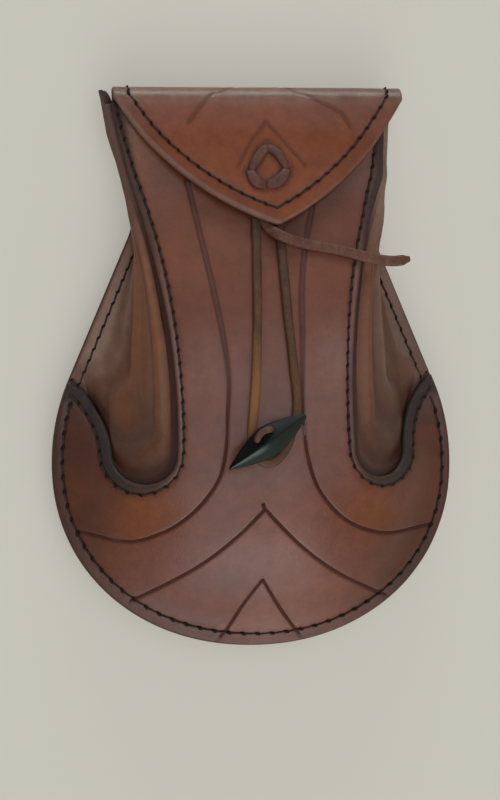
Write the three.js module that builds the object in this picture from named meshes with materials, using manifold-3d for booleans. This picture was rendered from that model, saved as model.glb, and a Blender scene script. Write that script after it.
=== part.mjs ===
// Belt bag: a kidney-shaped leather pouch with a folded flap, lying on its back. Millimetres.
// +X is the right-hand side of the front, +Y runs up to the flap's fold, +Z comes out of the front.
// z = 0 is the surface that the bag lies on, and x = y = 0 is the middle of its outline.
import * as THREE from 'three';
import { mergeVertices } from 'three/addons/utils/BufferGeometryUtils.js';
import Module from 'manifold-3d';

const { lerp, clamp, smoothstep, degToRad } = THREE.MathUtils;
const wasm = await Module();
wasm.setup();

// Leather and clearances
const LEATHER = 2.4;
const SOFT_LEATHER = 1.6;
const GAP = 0.3;
const SEAM_GAP = 0.5;
const SEAM_CLEAR = 1.3;

// Rim: a superellipse for the belly, an arc and a straight slope for the shoulder, then the neck
const BELLY = { y: -38.2, halfWidth: 80.2, depth: 73.2, power: 2.1, bottomY: -111.3 };
const SHOULDER = { radius: 84.6, topY: -5.4 };
const NECK = { y: 57.3, halfWidth: 46.95, spread: 0.19, blend: 4 };

// Back: flat where it rests, curving up to the rim, then flat up to the fold
const BACK_BOW = { y: -40, halfWidth: 70, halfHeight: 66, flat: 0.62, height: 7.5 };
const FOLD = { y: 104.6, radius: 6.8 };

// Flap: two bowed edges that meet in a blunt point, right of the middle
const FLAP = { cornerY: 107, tipY: 56.6, tipX: 7.5, tipHalf: 0.9 };
const FLAP_LIFT = [
  { y: 56, lift: 3.4 },
  { y: 84, lift: 3.0 },
  { y: 95, lift: 1.3 },
  { y: 105, lift: 0.8 },
];

// Front: a tongue up the middle, a domed belly, and two U cut-outs inside the horns at the rim
const RIM_Z = BACK_BOW.height + LEATHER + GAP + LEATHER;
const DOME = { height: 37.4, reach: 0.94, power: 2.5, soft: 0.08 };
const TONGUE = { straightY: 76, topY: 104.5 };
const TONGUE_DROOP = { low: 2, lowY: 40, high: 0.5, highY: 95 };
const TONGUE_ROOT = { lowY: -60, highY: -30 };
const MIDLINE = [
  { y: -60, z: 48.6 },
  { y: -32, z: 50 },
  { y: -10, z: 48.6 },
  { y: 10, z: 44.6 },
  { y: 28, z: 38.8 },
  { y: 46, z: 31.8 },
  { y: 63, z: 25.6 },
  { y: 74, z: 22.4 },
  { y: 85, z: 19.8 },
  { y: 97, z: 18.2 },
  { y: 108, z: 17.9 },
];
const LIMB_ROWS = [TONGUE.topY, 90, TONGUE.straightY, 60, 40, 20, 0, -24];
const HORN = { low: 0.2, lowY: -2, fullY: -46 };

// Gussets: a row for each station along the front seam, from the mouth to the horn's tip;
// the folds run along the wall and fade at both ends
const GUSSET_SEAM = { topY: 103, pastTip: 1.4, lead: 0.75, edge: 0.4, first: 0.004, last: 0.996 };
const GUSSET_ROWS = [
  { u: 0, backFlange: 0.5, frontFlange: 4.2, rise: 0, bulgeLeft: 4.2, bulgeRight: 0.6 },
  { u: 0.05, backFlange: 0.7, frontFlange: 4.5, rise: 0, bulgeLeft: 3.3, bulgeRight: 0.6 },
  { u: 0.12, backFlange: 1, frontFlange: 4.5, rise: 0, bulgeLeft: 2.1, bulgeRight: 1 },
  { u: 0.2, backFlange: 1.8, frontFlange: 4.5, rise: 0.1, bulgeLeft: 2.5, bulgeRight: 3.4 },
  { u: 0.26, backFlange: 2.6, frontFlange: 4.5, rise: 0.2, bulgeLeft: 3.4, bulgeRight: 4.8 },
  { u: 0.35, backFlange: 4, frontFlange: 4.5, rise: 0.4, bulgeLeft: 4.4, bulgeRight: 5 },
  { u: 0.6, backFlange: 6.5, frontFlange: 4.5, rise: 0.6, bulgeLeft: 4.4, bulgeRight: 4.6 },
  { u: 0.76, backFlange: 8.5, frontFlange: 4.2, rise: 1, bulgeLeft: 3.4, bulgeRight: 3.6 },
  { u: 0.86, backFlange: 8.5, frontFlange: 0.8, rise: 2, bulgeLeft: 1.5, bulgeRight: 1.5 },
  { u: 0.92, backFlange: 5, frontFlange: -1.4, rise: 2, bulgeLeft: 0.7, bulgeRight: 0.7 },
  { u: 1, backFlange: 0.6, frontFlange: -1.4, rise: 2, bulgeLeft: 0.1, bulgeRight: 0.1 },
];
const GUSSET_FOLDS = { count: 2, depth: 1, from: 0.16, full: 0.36, fade: 0.6, to: 0.82 };
const LIP = { length: 0.06, full: 0.85 };

// The two sides differ a little: the flap's edge, the tongue's edge, the cut-out and horn, the gusset's mouth
const LEFT = {
  sign: -1,
  cornerX: -56.9,
  bow: 7.2,
  waistY: -28,
  waistHalf: 34.6,
  flare: 660,
  spread: 0.24,
  cutoutY: -35,
  cutoutRadius: 12.1,
  limbRadius: 36.4,
  tipY: -6,
  lip: 7,
  bulge: 'bulgeLeft',
};
const RIGHT = {
  sign: 1,
  cornerX: 59.5,
  bow: 5.8,
  waistY: -12,
  waistHalf: 35.5,
  flare: 480,
  spread: 0.05,
  cutoutY: -32.2,
  cutoutRadius: 11.6,
  limbRadius: 41.6,
  tipY: -3,
  lip: 0,
  bulge: 'bulgeRight',
};

// Belt loop on the back: two sewn ends and a straight run that leaves a tunnel for the belt
const LOOP = { halfWidth: 28, bottomY: 28, topY: 103, sewn: 12, ramp: 5 };

// Toggle: a four-sided double point, tied down through two holes in its upper face
const TOGGLE = { x: 0.2, y: -29.6, z: 56.8, turn: 35, flatness: 0.72, sides: 4 };
const TOGGLE_PROFILE = [
  { along: -19.2, radius: 0 },
  { along: -18.5, radius: 0.7 },
  { along: -8.7, radius: 4.5 },
  { along: 0, radius: 6.2 },
  { along: 8.7, radius: 4.5 },
  { along: 16.8, radius: 1.4 },
  { along: 17.8, radius: 0.8 },
  { along: 18, radius: 0 },
];
const TIE = { diameter: 2.4, sides: 8, steps: 14 };
const TIE_HOLE = { radius: 1.6, sides: 12, length: 20 };
const TIE_HOLES = [
  { along: 3.4, across: 2.9 },
  { along: -4, across: 2.7 },
];
const TIE_ROUTE = [
  { along: 3.4, across: 2.9, z: 50.3 },
  { along: 3.4, across: 2.9, z: 54 },
  { along: 3.4, across: 2.9, z: 57.6 },
  { along: 2.5, across: 3.9, z: 60 },
  { along: -0.2, across: 4.6, z: 60.4 },
  { along: -2.9, across: 3.9, z: 60 },
  { along: -4, across: 2.7, z: 58.2 },
  { along: -4, across: 2.7, z: 56.2 },
];

// Thong: a loop from under the flap round the toggle, and a free end; lift is above the front
const THONG = { diameter: 2.6, sides: 8, loopSteps: 42, endSteps: 17 };
const THONG_LOOP_ROUTE = [
  { x: -0.8, y: 71, lift: 1.65 },
  { x: -0.9, y: 58, lift: 1.65 },
  { x: -1.4, y: 40, lift: 1.65 },
  { x: -2.3, y: 20, lift: 1.65 },
  { x: -3.3, y: 0, lift: 1.65 },
  { x: -4.4, y: -15, lift: 1.65 },
  { x: -5.2, y: -23, lift: 1.65 },
  { x: -5.4, y: -30, lift: 1.65 },
  { x: -3.6, y: -35.6, lift: 1.65 },
  { x: 0.8, y: -38.2, lift: 1.65 },
  { x: 5.2, y: -36.4, lift: 1.65 },
  { x: 8.4, y: -31.4, lift: 1.65 },
  { x: 10.8, y: -25, lift: 1.65 },
  { x: 12.6, y: -16, lift: 1.65 },
  { x: 11.5, y: 0, lift: 1.65 },
  { x: 10, y: 20, lift: 1.65 },
  { x: 9.1, y: 40, lift: 1.65 },
  { x: 8.6, y: 58, lift: 1.65 },
  { x: 8.4, y: 71, lift: 1.65 },
];
const THONG_END_ROUTE = [
  { x: 2.1, y: 63, lift: 1.65 },
  { x: 2.6, y: 58.2, lift: 1.65 },
  { x: 4.2, y: 54.9, lift: 2.6 },
  { x: 6.4, y: 52.9, lift: 4.3 },
  { x: 9, y: 51.5, lift: 4.8 },
  { x: 12.6, y: 50.2, lift: 3.9 },
  { x: 18.4, y: 48.6, lift: 2.1 },
  { x: 25, y: 47.4, lift: 1.65 },
  { x: 32.5, y: 46.1, lift: 1.65 },
  { x: 41, y: 43.9, lift: 1.5 },
  { x: 48, y: 42.4, lift: 0.6 },
  { x: 54.5, y: 41.9, lift: -0.4 },
  { x: 60.7, y: 42.8, lift: -1.6 },
];

// Lacing: a ring of lace through four holes near the flap's point
const LACING = { x: 5.4, y: 78.8, radiusX: 8.6, radiusY: 8.8, halfWidth: 1.9, halfHeight: 1, hump: 1.1 };
const LACING_GRID = { around: 32, sides: 8 };

// Mesh fineness
const FRONT_CELL = 6.4;
const FRONT_RIM_ROWS = 26;
const HORN_ROWS = 4;
const ABOVE_FRONT = 80;
const EDGE_STEPS = 40;
const BACK_COLUMNS = 14;
const BELLY_ROWS = 15;
const BACK_ROWS = 14;
const FOLD_ROWS = 8;
const FLAP_ROWS = 9;
const GUSSET_GRID = { along: 27, backFlange: 2, body: 10, frontFlange: 2 };

// Largest of two values, rounded where they cross
function smoothMax(a, b, blend) {
  const share = Math.max(blend - Math.abs(a - b), 0) / blend;
  return Math.max(a, b) + share * share * blend / 4;
}

// Smooth curve through a table's rows: the value of a column at a place in the key column
function along(rows, key, column, at) {
  const last = rows.length - 1;
  const place = clamp(at, rows[0][key], rows[last][key]);
  const found = rows.findIndex((row) => row[key] >= place);
  const n = Math.max(found - 1, 0);
  const slope = (k) => {
    const before = rows[Math.max(k - 1, 0)];
    const after = rows[Math.min(k + 1, last)];
    return (after[column] - before[column]) / (after[key] - before[key]);
  };
  const width = rows[n + 1][key] - rows[n][key];
  const t = (place - rows[n][key]) / width;
  const rise = t * t * (3 - 2 * t);
  const leave = slope(n) * width * t * (1 - t) * (1 - t);
  const arrive = slope(n + 1) * width * t * t * (1 - t);
  return lerp(rows[n][column], rows[n + 1][column], rise) + leave - arrive;
}

// Half width of the back's outline
function rimHalf(y) {
  if (y <= BELLY.y) {
    const reach = Math.min((BELLY.y - y) / BELLY.depth, 1);
    return BELLY.halfWidth * (1 - reach ** BELLY.power) ** (1 / BELLY.power);
  }
  const arcHalf = (h) => Math.sqrt(SHOULDER.radius ** 2 - (h - BELLY.y) ** 2);
  const arcY = Math.min(y, SHOULDER.topY);
  const lean = (SHOULDER.topY - BELLY.y) / arcHalf(SHOULDER.topY);
  const arc = BELLY.halfWidth - SHOULDER.radius + arcHalf(arcY);
  const shoulder = arc - lean * Math.max(y - SHOULDER.topY, 0);
  const neck = NECK.halfWidth + NECK.spread * (y - NECK.y);
  return smoothMax(shoulder, neck, NECK.blend);
}

// Rim stations from the bottom of the belly to its widest line, even along the curve
function bellyStations(count) {
  const first = Math.asin(((BELLY.y - BELLY.bottomY) / BELLY.depth) ** (BELLY.power / 2));
  return Array.from({ length: count }, (_, i) => {
    const angle = first * (1 - i / count);
    return BELLY.y - BELLY.depth * Math.sin(angle) ** (2 / BELLY.power);
  });
}

// Height of the back's outer face
function backOuter(x, y) {
  const reach = Math.hypot(x / BACK_BOW.halfWidth, (y - BACK_BOW.y) / BACK_BOW.halfHeight);
  return BACK_BOW.height * smoothstep(reach, BACK_BOW.flat, 1);
}

// Half width of the tongue on one side: it flares above and below its waist
function tongueHalf(y, side) {
  const rise = clamp(y, side.cutoutY, TONGUE.straightY) - side.waistY;
  return side.waistHalf + rise ** 2 / side.flare + side.spread * Math.max(y - TONGUE.straightY, 0);
}

// Middle of a cut-out, and the middle of the arc that bounds its horn
const cutoutX = (side) => tongueHalf(side.cutoutY, side) + side.cutoutRadius;
const limbX = (side) => cutoutX(side) + side.cutoutRadius + side.limbRadius;

// Inner edge of a horn
function hornInner(y, side) {
  const rise = clamp(y, side.cutoutY, side.tipY) - side.cutoutY;
  return limbX(side) - Math.sqrt(side.limbRadius ** 2 - rise ** 2);
}

// Domed belly and horns: full height in the middle, flat on the rim
function dome(x, y) {
  const side = Math.abs(x) / BELLY.halfWidth;
  const drop = Math.max(BELLY.y - y, 0) / BELLY.depth;
  const bellyReach = (side ** BELLY.power + drop ** BELLY.power) ** (1 / BELLY.power);
  const reach = y < BELLY.y ? bellyReach : Math.abs(x) / rimHalf(y);
  const crown = smoothMax(1 - (reach / DOME.reach) ** DOME.power, 0, 4 * DOME.soft);
  const horn = lerp(1, HORN.low, smoothstep(y, HORN.fullY, HORN.lowY));
  return RIM_Z + DOME.height * horn * crown;
}

// Height of the front's outer face
function frontTop(x, y) {
  const side = x < 0 ? LEFT : RIGHT;
  const reach = Math.abs(x);
  const edge = tongueHalf(y, side);
  const { low, lowY, high, highY } = TONGUE_DROOP;
  const droop = lerp(low, high, smoothstep(y, lowY, highY));
  const tongue = along(MIDLINE, 'y', 'z', y) - droop * (reach / edge) ** 2;
  const inTongue = 1 - smoothstep(reach, edge, hornInner(y, side));
  const aboveRoot = smoothstep(y, TONGUE_ROOT.lowY, TONGUE_ROOT.highY);
  return lerp(dome(x, y), tongue, inTongue * aboveRoot);
}

// Height of a surface that lies at a depth below the front's outer face, measured square to its slope
function belowFront(x, y, depth) {
  const step = 0.5;
  const slopeX = (frontTop(x + step, y) - frontTop(x - step, y)) / (2 * step);
  const slopeY = (frontTop(x, y + step) - frontTop(x, y - step)) / (2 * step);
  return frontTop(x, y) - depth * Math.hypot(1, slopeX, slopeY);
}

// Closed solid between two grids of points; the outer grid's rows and columns run right-handed outward
function solidBetween(outer, inner) {
  const rows = outer.length;
  const columns = outer[0].length;
  const points = [...outer.flat(), ...inner.flat()];
  const at = (layer, i, j) => layer * rows * columns + i * columns + j;
  const index = [];
  const quad = (a, b, c, d) => index.push(a, b, c, a, c, d);
  for (let i = 0; i + 1 < rows; i++) {
    for (let j = 0; j + 1 < columns; j++) {
      quad(at(0, i, j), at(0, i, j + 1), at(0, i + 1, j + 1), at(0, i + 1, j));
      quad(at(1, i, j), at(1, i + 1, j), at(1, i + 1, j + 1), at(1, i, j + 1));
    }
    quad(at(0, i, 0), at(0, i + 1, 0), at(1, i + 1, 0), at(1, i, 0));
    quad(at(0, i + 1, columns - 1), at(0, i, columns - 1), at(1, i, columns - 1), at(1, i + 1, columns - 1));
  }
  for (let j = 0; j + 1 < columns; j++) {
    quad(at(0, 0, j + 1), at(0, 0, j), at(1, 0, j), at(1, 0, j + 1));
    quad(at(0, rows - 1, j), at(0, rows - 1, j + 1), at(1, rows - 1, j + 1), at(1, rows - 1, j));
  }
  const geometry = new THREE.BufferGeometry().setFromPoints(points);
  geometry.setIndex(index);
  return geometry;
}

function toManifold(geometry) {
  const bare = geometry.clone();
  bare.deleteAttribute('normal');
  bare.deleteAttribute('uv');
  const merged = mergeVertices(bare);
  const vertProperties = new Float32Array(merged.attributes.position.array);
  const triVerts = new Uint32Array(merged.index.array);
  return new wasm.Manifold(new wasm.Mesh({ numProp: 3, vertProperties, triVerts }));
}

function fromManifold(solid) {
  const mesh = solid.getMesh();
  const geometry = new THREE.BufferGeometry();
  geometry.setAttribute('position', new THREE.BufferAttribute(mesh.vertProperties, mesh.numProp));
  geometry.setIndex(new THREE.BufferAttribute(mesh.triVerts, 1));
  return geometry;
}

// Round tube along a smooth route, with flat ends
function tube(route, diameter, sides, steps) {
  const section = new THREE.Shape();
  for (let k = 0; k < sides; k++) {
    const angle = 2 * Math.PI * k / sides;
    const x = Math.cos(angle) * diameter / 2;
    const y = Math.sin(angle) * diameter / 2;
    if (k === 0) section.moveTo(x, y);
    else section.lineTo(x, y);
  }
  const extrudePath = new THREE.CatmullRomCurve3(route);
  return new THREE.ExtrudeGeometry(section, { steps, extrudePath });
}

// Edge of the flap: an arc from a corner on the fold to the point
function flapEdge(side, y) {
  const corner = new THREE.Vector2(side.cornerX, FLAP.cornerY);
  const tip = new THREE.Vector2(FLAP.tipX + side.sign * FLAP.tipHalf, FLAP.tipY);
  const chord = tip.clone().sub(corner);
  const radius = chord.lengthSq() / (8 * side.bow) + side.bow / 2;
  const inward = new THREE.Vector2(-chord.y, chord.x).normalize().multiplyScalar(-side.sign);
  const centre = corner.clone().add(tip).multiplyScalar(0.5).addScaledVector(inward, radius - side.bow);
  const reach = Math.sqrt(radius ** 2 - (Math.min(y, FLAP.cornerY) - centre.y) ** 2);
  return centre.x + side.sign * reach;
}

// Height of the flap's inner face above the tongue
function flapUnder(y) {
  return along(MIDLINE, 'y', 'z', y) + along(FLAP_LIFT, 'y', 'lift', y);
}

// Back, fold and flap as one strip of rows, from the bottom of the belly round to the flap's point
function backAndFlap() {
  const outer = [];
  const inner = [];
  const foldInner = FOLD.radius - LEATHER;
  const foldZ = BACK_BOW.height + FOLD.radius;
  const addRow = (left, right, place) => {
    const xs = Array.from({ length: BACK_COLUMNS + 1 }, (_, j) => lerp(left, right, j / BACK_COLUMNS));
    outer.push(xs.map((x) => place(x, 0)));
    inner.push(xs.map((x) => place(x, 1)));
  };
  const backStart = BELLY.y;
  const straight = Array.from({ length: BACK_ROWS }, (_, i) => lerp(backStart, FOLD.y, i / BACK_ROWS));
  for (const y of [...bellyStations(BELLY_ROWS), ...straight]) {
    const half = rimHalf(y);
    addRow(-half, half, (x, layer) => new THREE.Vector3(x, y, backOuter(x, y) + layer * LEATHER));
  }
  for (let i = 0; i <= FOLD_ROWS; i++) {
    const share = i / FOLD_ROWS;
    const angle = Math.PI * (share - 0.5);
    const foldEdge = (side) => {
      if (share > 0.5) return flapEdge(side, FOLD.y + FOLD.radius * Math.cos(angle));
      return lerp(side.sign * rimHalf(FOLD.y), side.cornerX, 2 * share);
    };
    addRow(foldEdge(LEFT), foldEdge(RIGHT), (x, layer) => {
      const radius = layer ? foldInner : FOLD.radius;
      return new THREE.Vector3(x, FOLD.y + radius * Math.cos(angle), foldZ + radius * Math.sin(angle));
    });
  }
  const settle = foldZ + foldInner - flapUnder(FOLD.y);
  for (let i = 1; i <= FLAP_ROWS; i++) {
    const y = lerp(FOLD.y, FLAP.tipY, i / FLAP_ROWS);
    const under = flapUnder(y) + settle * smoothstep(y, FLAP.tipY, FOLD.y);
    addRow(flapEdge(LEFT, y), flapEdge(RIGHT, y), (x, layer) => {
      return new THREE.Vector3(x, y, under + (1 - layer) * LEATHER);
    });
  }
  return solidBetween(outer.reverse(), inner.reverse());
}

// Front edge of one side as a half width: down from the tongue's top, round the cut-out, up to the horn's tip
function cutoutEdge(side) {
  const { cutoutY, cutoutRadius, limbRadius, tipY } = side;
  const edge = new THREE.CurvePath();
  const limb = [...LIMB_ROWS, cutoutY];
  edge.add(new THREE.SplineCurve(limb.map((y) => new THREE.Vector2(tongueHalf(y, side), y))));
  const addArc = (x, radius, from, to, clockwise) => {
    edge.add(new THREE.EllipseCurve(x, cutoutY, radius, radius, from, to, clockwise, 0));
  };
  const tipAngle = Math.PI - Math.asin((tipY - cutoutY) / limbRadius);
  addArc(cutoutX(side), cutoutRadius, Math.PI, 2 * Math.PI, false);
  addArc(limbX(side), limbRadius, Math.PI, tipAngle, true);
  return edge;
}

LEFT.edge = cutoutEdge(LEFT);
RIGHT.edge = cutoutEdge(RIGHT);

// Front: a domed sheet on a square grid, cut to the front's outline
function frontPanel() {
  const halfSpan = BELLY.halfWidth + FRONT_CELL;
  const columns = Math.ceil(2 * halfSpan / FRONT_CELL);
  const rows = Math.ceil((TONGUE.topY - BELLY.bottomY) / FRONT_CELL) + 2;
  const grid = (height) => Array.from({ length: rows + 1 }, (_, i) => {
    const y = BELLY.bottomY + (i - 1) * FRONT_CELL;
    return Array.from({ length: columns + 1 }, (_, j) => {
      const x = lerp(-halfSpan, halfSpan, j / columns);
      return new THREE.Vector3(x, y, height(x, y));
    });
  });
  const sheet = toManifold(solidBetween(grid(frontTop), grid((x, y) => belowFront(x, y, LEATHER))));
  const half = ({ edge, tipY }) => {
    const horn = Array.from({ length: HORN_ROWS + 1 }, (_, i) => lerp(BELLY.y, tipY, i / HORN_ROWS));
    const rim = [...bellyStations(FRONT_RIM_ROWS), ...horn].map((y) => new THREE.Vector2(rimHalf(y), y));
    return [...rim, ...edge.getSpacedPoints(EDGE_STEPS).reverse()];
  };
  const right = half(RIGHT);
  const left = half(LEFT).map((p) => new THREE.Vector2(-p.x, p.y)).reverse();
  const cutter = { depth: ABOVE_FRONT, bevelEnabled: false };
  const outline = new THREE.ExtrudeGeometry(new THREE.Shape([...right, ...left]), cutter);
  return fromManifold(sheet.intersect(toManifold(outline)));
}

// Middle of a gusset's wall at a station u along the seams, from the back to the front, as on the right
function gussetSection(u, side) {
  const { edge, lip, bulge, tipY } = side;
  const { topY, pastTip, lead, first, last } = GUSSET_SEAM;
  const row = (column) => along(GUSSET_ROWS, 'u', column, u);
  const y = lerp(topY, tipY + pastTip, u ** lead);
  const lean = rimHalf(y + 0.5) - rimHalf(y - 0.5);
  const outward = new THREE.Vector3(1, -lean, 0).normalize();
  const rim = new THREE.Vector3(rimHalf(y), y, BACK_BOW.height + LEATHER + GAP + SOFT_LEATHER / 2);
  const backEdge = rim.clone().addScaledVector(outward, -GUSSET_SEAM.edge);
  const backBend = backEdge.clone().addScaledVector(outward, -row('backFlange'));
  const seam = edge.getPointAt(clamp(u, first, last));
  const ahead = edge.getTangentAt(clamp(u, first, last));
  const under = (inset) => {
    const x = seam.x + ahead.y * inset;
    const seamY = seam.y - ahead.x * inset;
    const z = belowFront(side.sign * x, seamY, LEATHER + SEAM_GAP + SOFT_LEATHER / 2);
    return new THREE.Vector3(x, seamY, Math.max(z, rim.z));
  };
  const frontBend = under(Math.min(row('frontFlange'), -SEAM_CLEAR));
  const frontEdge = under(row('frontFlange'));
  const clearOfSeam = new THREE.Vector3(-ahead.y, ahead.x, 0);
  const bulgeWay = outward.clone().add(clearOfSeam).normalize();
  bulgeWay.z = row('rise');
  bulgeWay.normalize();
  const { count, depth, from, full, fade, to } = GUSSET_FOLDS;
  const folding = depth * smoothstep(u, from, full) * (1 - smoothstep(u, fade, to));
  const raise = lip * (1 - smoothstep(u, 0, LIP.length));
  const section = [];
  const { backFlange, body, frontFlange } = GUSSET_GRID;
  for (let k = 0; k < backFlange; k++) section.push(backEdge.clone().lerp(backBend, k / backFlange));
  for (let k = 0; k <= body; k++) {
    const arch = Math.sin(Math.PI * k / body);
    const fold = folding * Math.sin(2 * Math.PI * count * k / body);
    const point = backBend.clone().lerp(frontBend, k / body);
    point.addScaledVector(bulgeWay, arch * row(bulge) + fold);
    point.y += raise * smoothstep(arch, 0, LIP.full);
    section.push(point);
  }
  for (let k = 1; k <= frontFlange; k++) section.push(frontBend.clone().lerp(frontEdge, k / frontFlange));
  return section;
}

// Gusset: the wall's middle surface, thickened to both sides
function gusset(side) {
  const stations = Array.from({ length: GUSSET_GRID.along + 1 }, (_, i) => i / GUSSET_GRID.along);
  const middle = stations.map((u) => gussetSection(u, side));
  const normal = (i, j) => {
    const rowBefore = middle[Math.max(i - 1, 0)][j];
    const rowAfter = middle[Math.min(i + 1, middle.length - 1)][j];
    const before = middle[i][Math.max(j - 1, 0)];
    const after = middle[i][Math.min(j + 1, middle[i].length - 1)];
    const alongWay = rowAfter.clone().sub(rowBefore);
    return alongWay.cross(after.clone().sub(before)).normalize();
  };
  const layer = (distance) => middle.map((section, i) => {
    const points = section.map((p, j) => p.clone().addScaledVector(normal(i, j), distance));
    return side.sign > 0 ? points : points.map((p) => p.setX(-p.x)).reverse();
  });
  return solidBetween(layer(-SOFT_LEATHER / 2), layer(SOFT_LEATHER / 2));
}

// Belt loop: a strap whose two ends lie on the back
function beltLoop() {
  const sewnZ = BACK_BOW.height - GAP;
  const inY = [LOOP.bottomY + LOOP.sewn, LOOP.topY - LOOP.sewn];
  const outY = [inY[0] + LOOP.ramp, inY[1] - LOOP.ramp];
  const profile = new THREE.Shape();
  profile.moveTo(LOOP.bottomY, sewnZ);
  profile.lineTo(LOOP.bottomY, sewnZ - LEATHER);
  profile.lineTo(inY[0] - LEATHER / 2, sewnZ - LEATHER);
  profile.lineTo(outY[0] - LEATHER / 2, 0);
  profile.lineTo(outY[1] + LEATHER / 2, 0);
  profile.lineTo(inY[1] + LEATHER / 2, sewnZ - LEATHER);
  profile.lineTo(LOOP.topY, sewnZ - LEATHER);
  profile.lineTo(LOOP.topY, sewnZ);
  profile.lineTo(inY[1], sewnZ);
  profile.lineTo(outY[1], LEATHER);
  profile.lineTo(outY[0], LEATHER);
  profile.lineTo(inY[0], sewnZ);
  const geometry = new THREE.ExtrudeGeometry(profile, { depth: 2 * LOOP.halfWidth, bevelEnabled: false });
  geometry.translate(0, 0, -LOOP.halfWidth);
  // The profile's own axes become Y and Z, and its depth runs along X
  geometry.applyMatrix4(new THREE.Matrix4().set(0, 0, 1, 0, 1, 0, 0, 0, 0, 1, 0, 0, 0, 0, 0, 1));
  return geometry;
}

// Toggle along its own X axis, with the holes for its tie
function toggleShape() {
  const profile = TOGGLE_PROFILE.map((row) => new THREE.Vector2(row.radius, row.along));
  const body = new THREE.LatheGeometry(profile, TOGGLE.sides);
  body.rotateZ(-Math.PI / 2);
  body.scale(1, 1, TOGGLE.flatness);
  const { radius, sides, length } = TIE_HOLE;
  let drilled = toManifold(body);
  for (const { along, across } of TIE_HOLES) {
    const hole = new THREE.CylinderGeometry(radius, radius, length, sides);
    hole.rotateX(Math.PI / 2);
    hole.translate(along, across, 0);
    drilled = drilled.subtract(toManifold(hole));
  }
  return fromManifold(drilled);
}

// Tie: up from the front through one hole and down into the other, in the toggle's own directions
function toggleTie() {
  const route = TIE_ROUTE.map((row) => new THREE.Vector3(row.along, row.across, row.z - TOGGLE.z));
  return tube(route, TIE.diameter, TIE.sides, TIE.steps);
}

// Thong route laid on the front; past the tongue's edge its height is taken from the edge
function thong(route, steps) {
  const points = route.map(({ x, y, lift }) => {
    const onTongue = clamp(x, -tongueHalf(y, LEFT), tongueHalf(y, RIGHT));
    return new THREE.Vector3(x, y, frontTop(onTongue, y) + lift);
  });
  return tube(points, THONG.diameter, THONG.sides, steps);
}

// Lacing: a closed ring of flat lace that rises between its four holes
function flapLacing() {
  const { around, sides } = LACING_GRID;
  const rise = flapUnder(LACING.y + 1) - flapUnder(LACING.y - 1);
  const slope = rise / 2;
  const points = [];
  const index = [];
  for (let i = 0; i < around; i++) {
    const angle = 2 * Math.PI * i / around;
    const hump = LACING.hump * Math.sin(2 * angle) ** 2;
    for (let k = 0; k < sides; k++) {
      const turn = 2 * Math.PI * k / sides;
      const out = LACING.halfWidth * Math.cos(turn);
      const x = (LACING.radiusX + out) * Math.cos(angle);
      const y = (LACING.radiusY + out) * Math.sin(angle);
      const rest = flapUnder(LACING.y) + slope * y + LEATHER + 2 * GAP;
      const z = rest + LACING.halfHeight * (1 + Math.sin(turn)) + hump;
      points.push(new THREE.Vector3(LACING.x + x, LACING.y + y, z));
      const a = i * sides + k;
      const b = i * sides + (k + 1) % sides;
      const c = ((i + 1) % around) * sides + (k + 1) % sides;
      const d = ((i + 1) % around) * sides + k;
      index.push(a, d, c, a, c, b);
    }
  }
  const geometry = new THREE.BufferGeometry().setFromPoints(points);
  geometry.setIndex(index);
  return geometry;
}

// Finishes
const finish = (color, roughness) => new THREE.MeshStandardMaterial({ color, roughness, metalness: 0 });
const BRIDLE_LEATHER = finish(0x71432f, 0.45);
const GUSSET_LEATHER = finish(0x5c3a28, 0.55);
const LACE_LEATHER = finish(0x5e4030, 0.65);
const HORN_DARK = finish(0x232320, 0.3);

const bag = new THREE.Group();

function add(name, geometry, material, parent = bag) {
  const mesh = new THREE.Mesh(geometry, material);
  mesh.name = name;
  parent.add(mesh);
}

add('back_and_flap', backAndFlap(), BRIDLE_LEATHER);
add('front_panel', frontPanel(), BRIDLE_LEATHER);
add('gusset_left', gusset(LEFT), GUSSET_LEATHER);
add('gusset_right', gusset(RIGHT), GUSSET_LEATHER);
add('belt_loop', beltLoop(), BRIDLE_LEATHER);
add('flap_lacing', flapLacing(), LACE_LEATHER);
add('thong_loop', thong(THONG_LOOP_ROUTE, THONG.loopSteps), LACE_LEATHER);
add('thong_end', thong(THONG_END_ROUTE, THONG.endSteps), LACE_LEATHER);

const closure = new THREE.Group();
closure.position.set(TOGGLE.x, TOGGLE.y, TOGGLE.z);
closure.rotation.z = degToRad(TOGGLE.turn);
bag.add(closure);
add('toggle', toggleShape(), HORN_DARK, closure);
add('toggle_tie', toggleTie(), LACE_LEATHER, closure);

export default bag;
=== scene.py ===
"""Belt bag: a kidney-shaped leather pouch with a folded flap, a lace and a horn toggle.

Sizes are in millimetres in the object's own frame, and meshes are scaled to metres as they are made.
"""
import functools
import math

import bpy
import numpy as np
from mathutils import Matrix, Vector, noise
from mathutils.geometry import delaunay_2d_cdt


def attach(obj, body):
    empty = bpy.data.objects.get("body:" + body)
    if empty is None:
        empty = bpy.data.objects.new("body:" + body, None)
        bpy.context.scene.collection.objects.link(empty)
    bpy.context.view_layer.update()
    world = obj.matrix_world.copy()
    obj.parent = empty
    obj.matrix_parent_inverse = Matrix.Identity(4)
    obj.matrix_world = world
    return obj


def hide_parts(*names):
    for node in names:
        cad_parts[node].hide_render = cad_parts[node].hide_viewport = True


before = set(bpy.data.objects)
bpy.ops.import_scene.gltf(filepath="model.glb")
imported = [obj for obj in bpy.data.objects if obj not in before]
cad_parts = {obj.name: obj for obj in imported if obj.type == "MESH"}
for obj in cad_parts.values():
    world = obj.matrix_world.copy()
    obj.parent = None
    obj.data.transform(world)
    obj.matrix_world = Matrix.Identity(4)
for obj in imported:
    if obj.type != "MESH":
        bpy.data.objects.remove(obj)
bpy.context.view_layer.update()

MM = 0.001

# Leather and clearances
LEATHER = 2.4
SOFT_LEATHER = 1.6
GAP = 0.3
SEAM_GAP = 0.5
SEAM_CLEAR = 1.3

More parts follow.
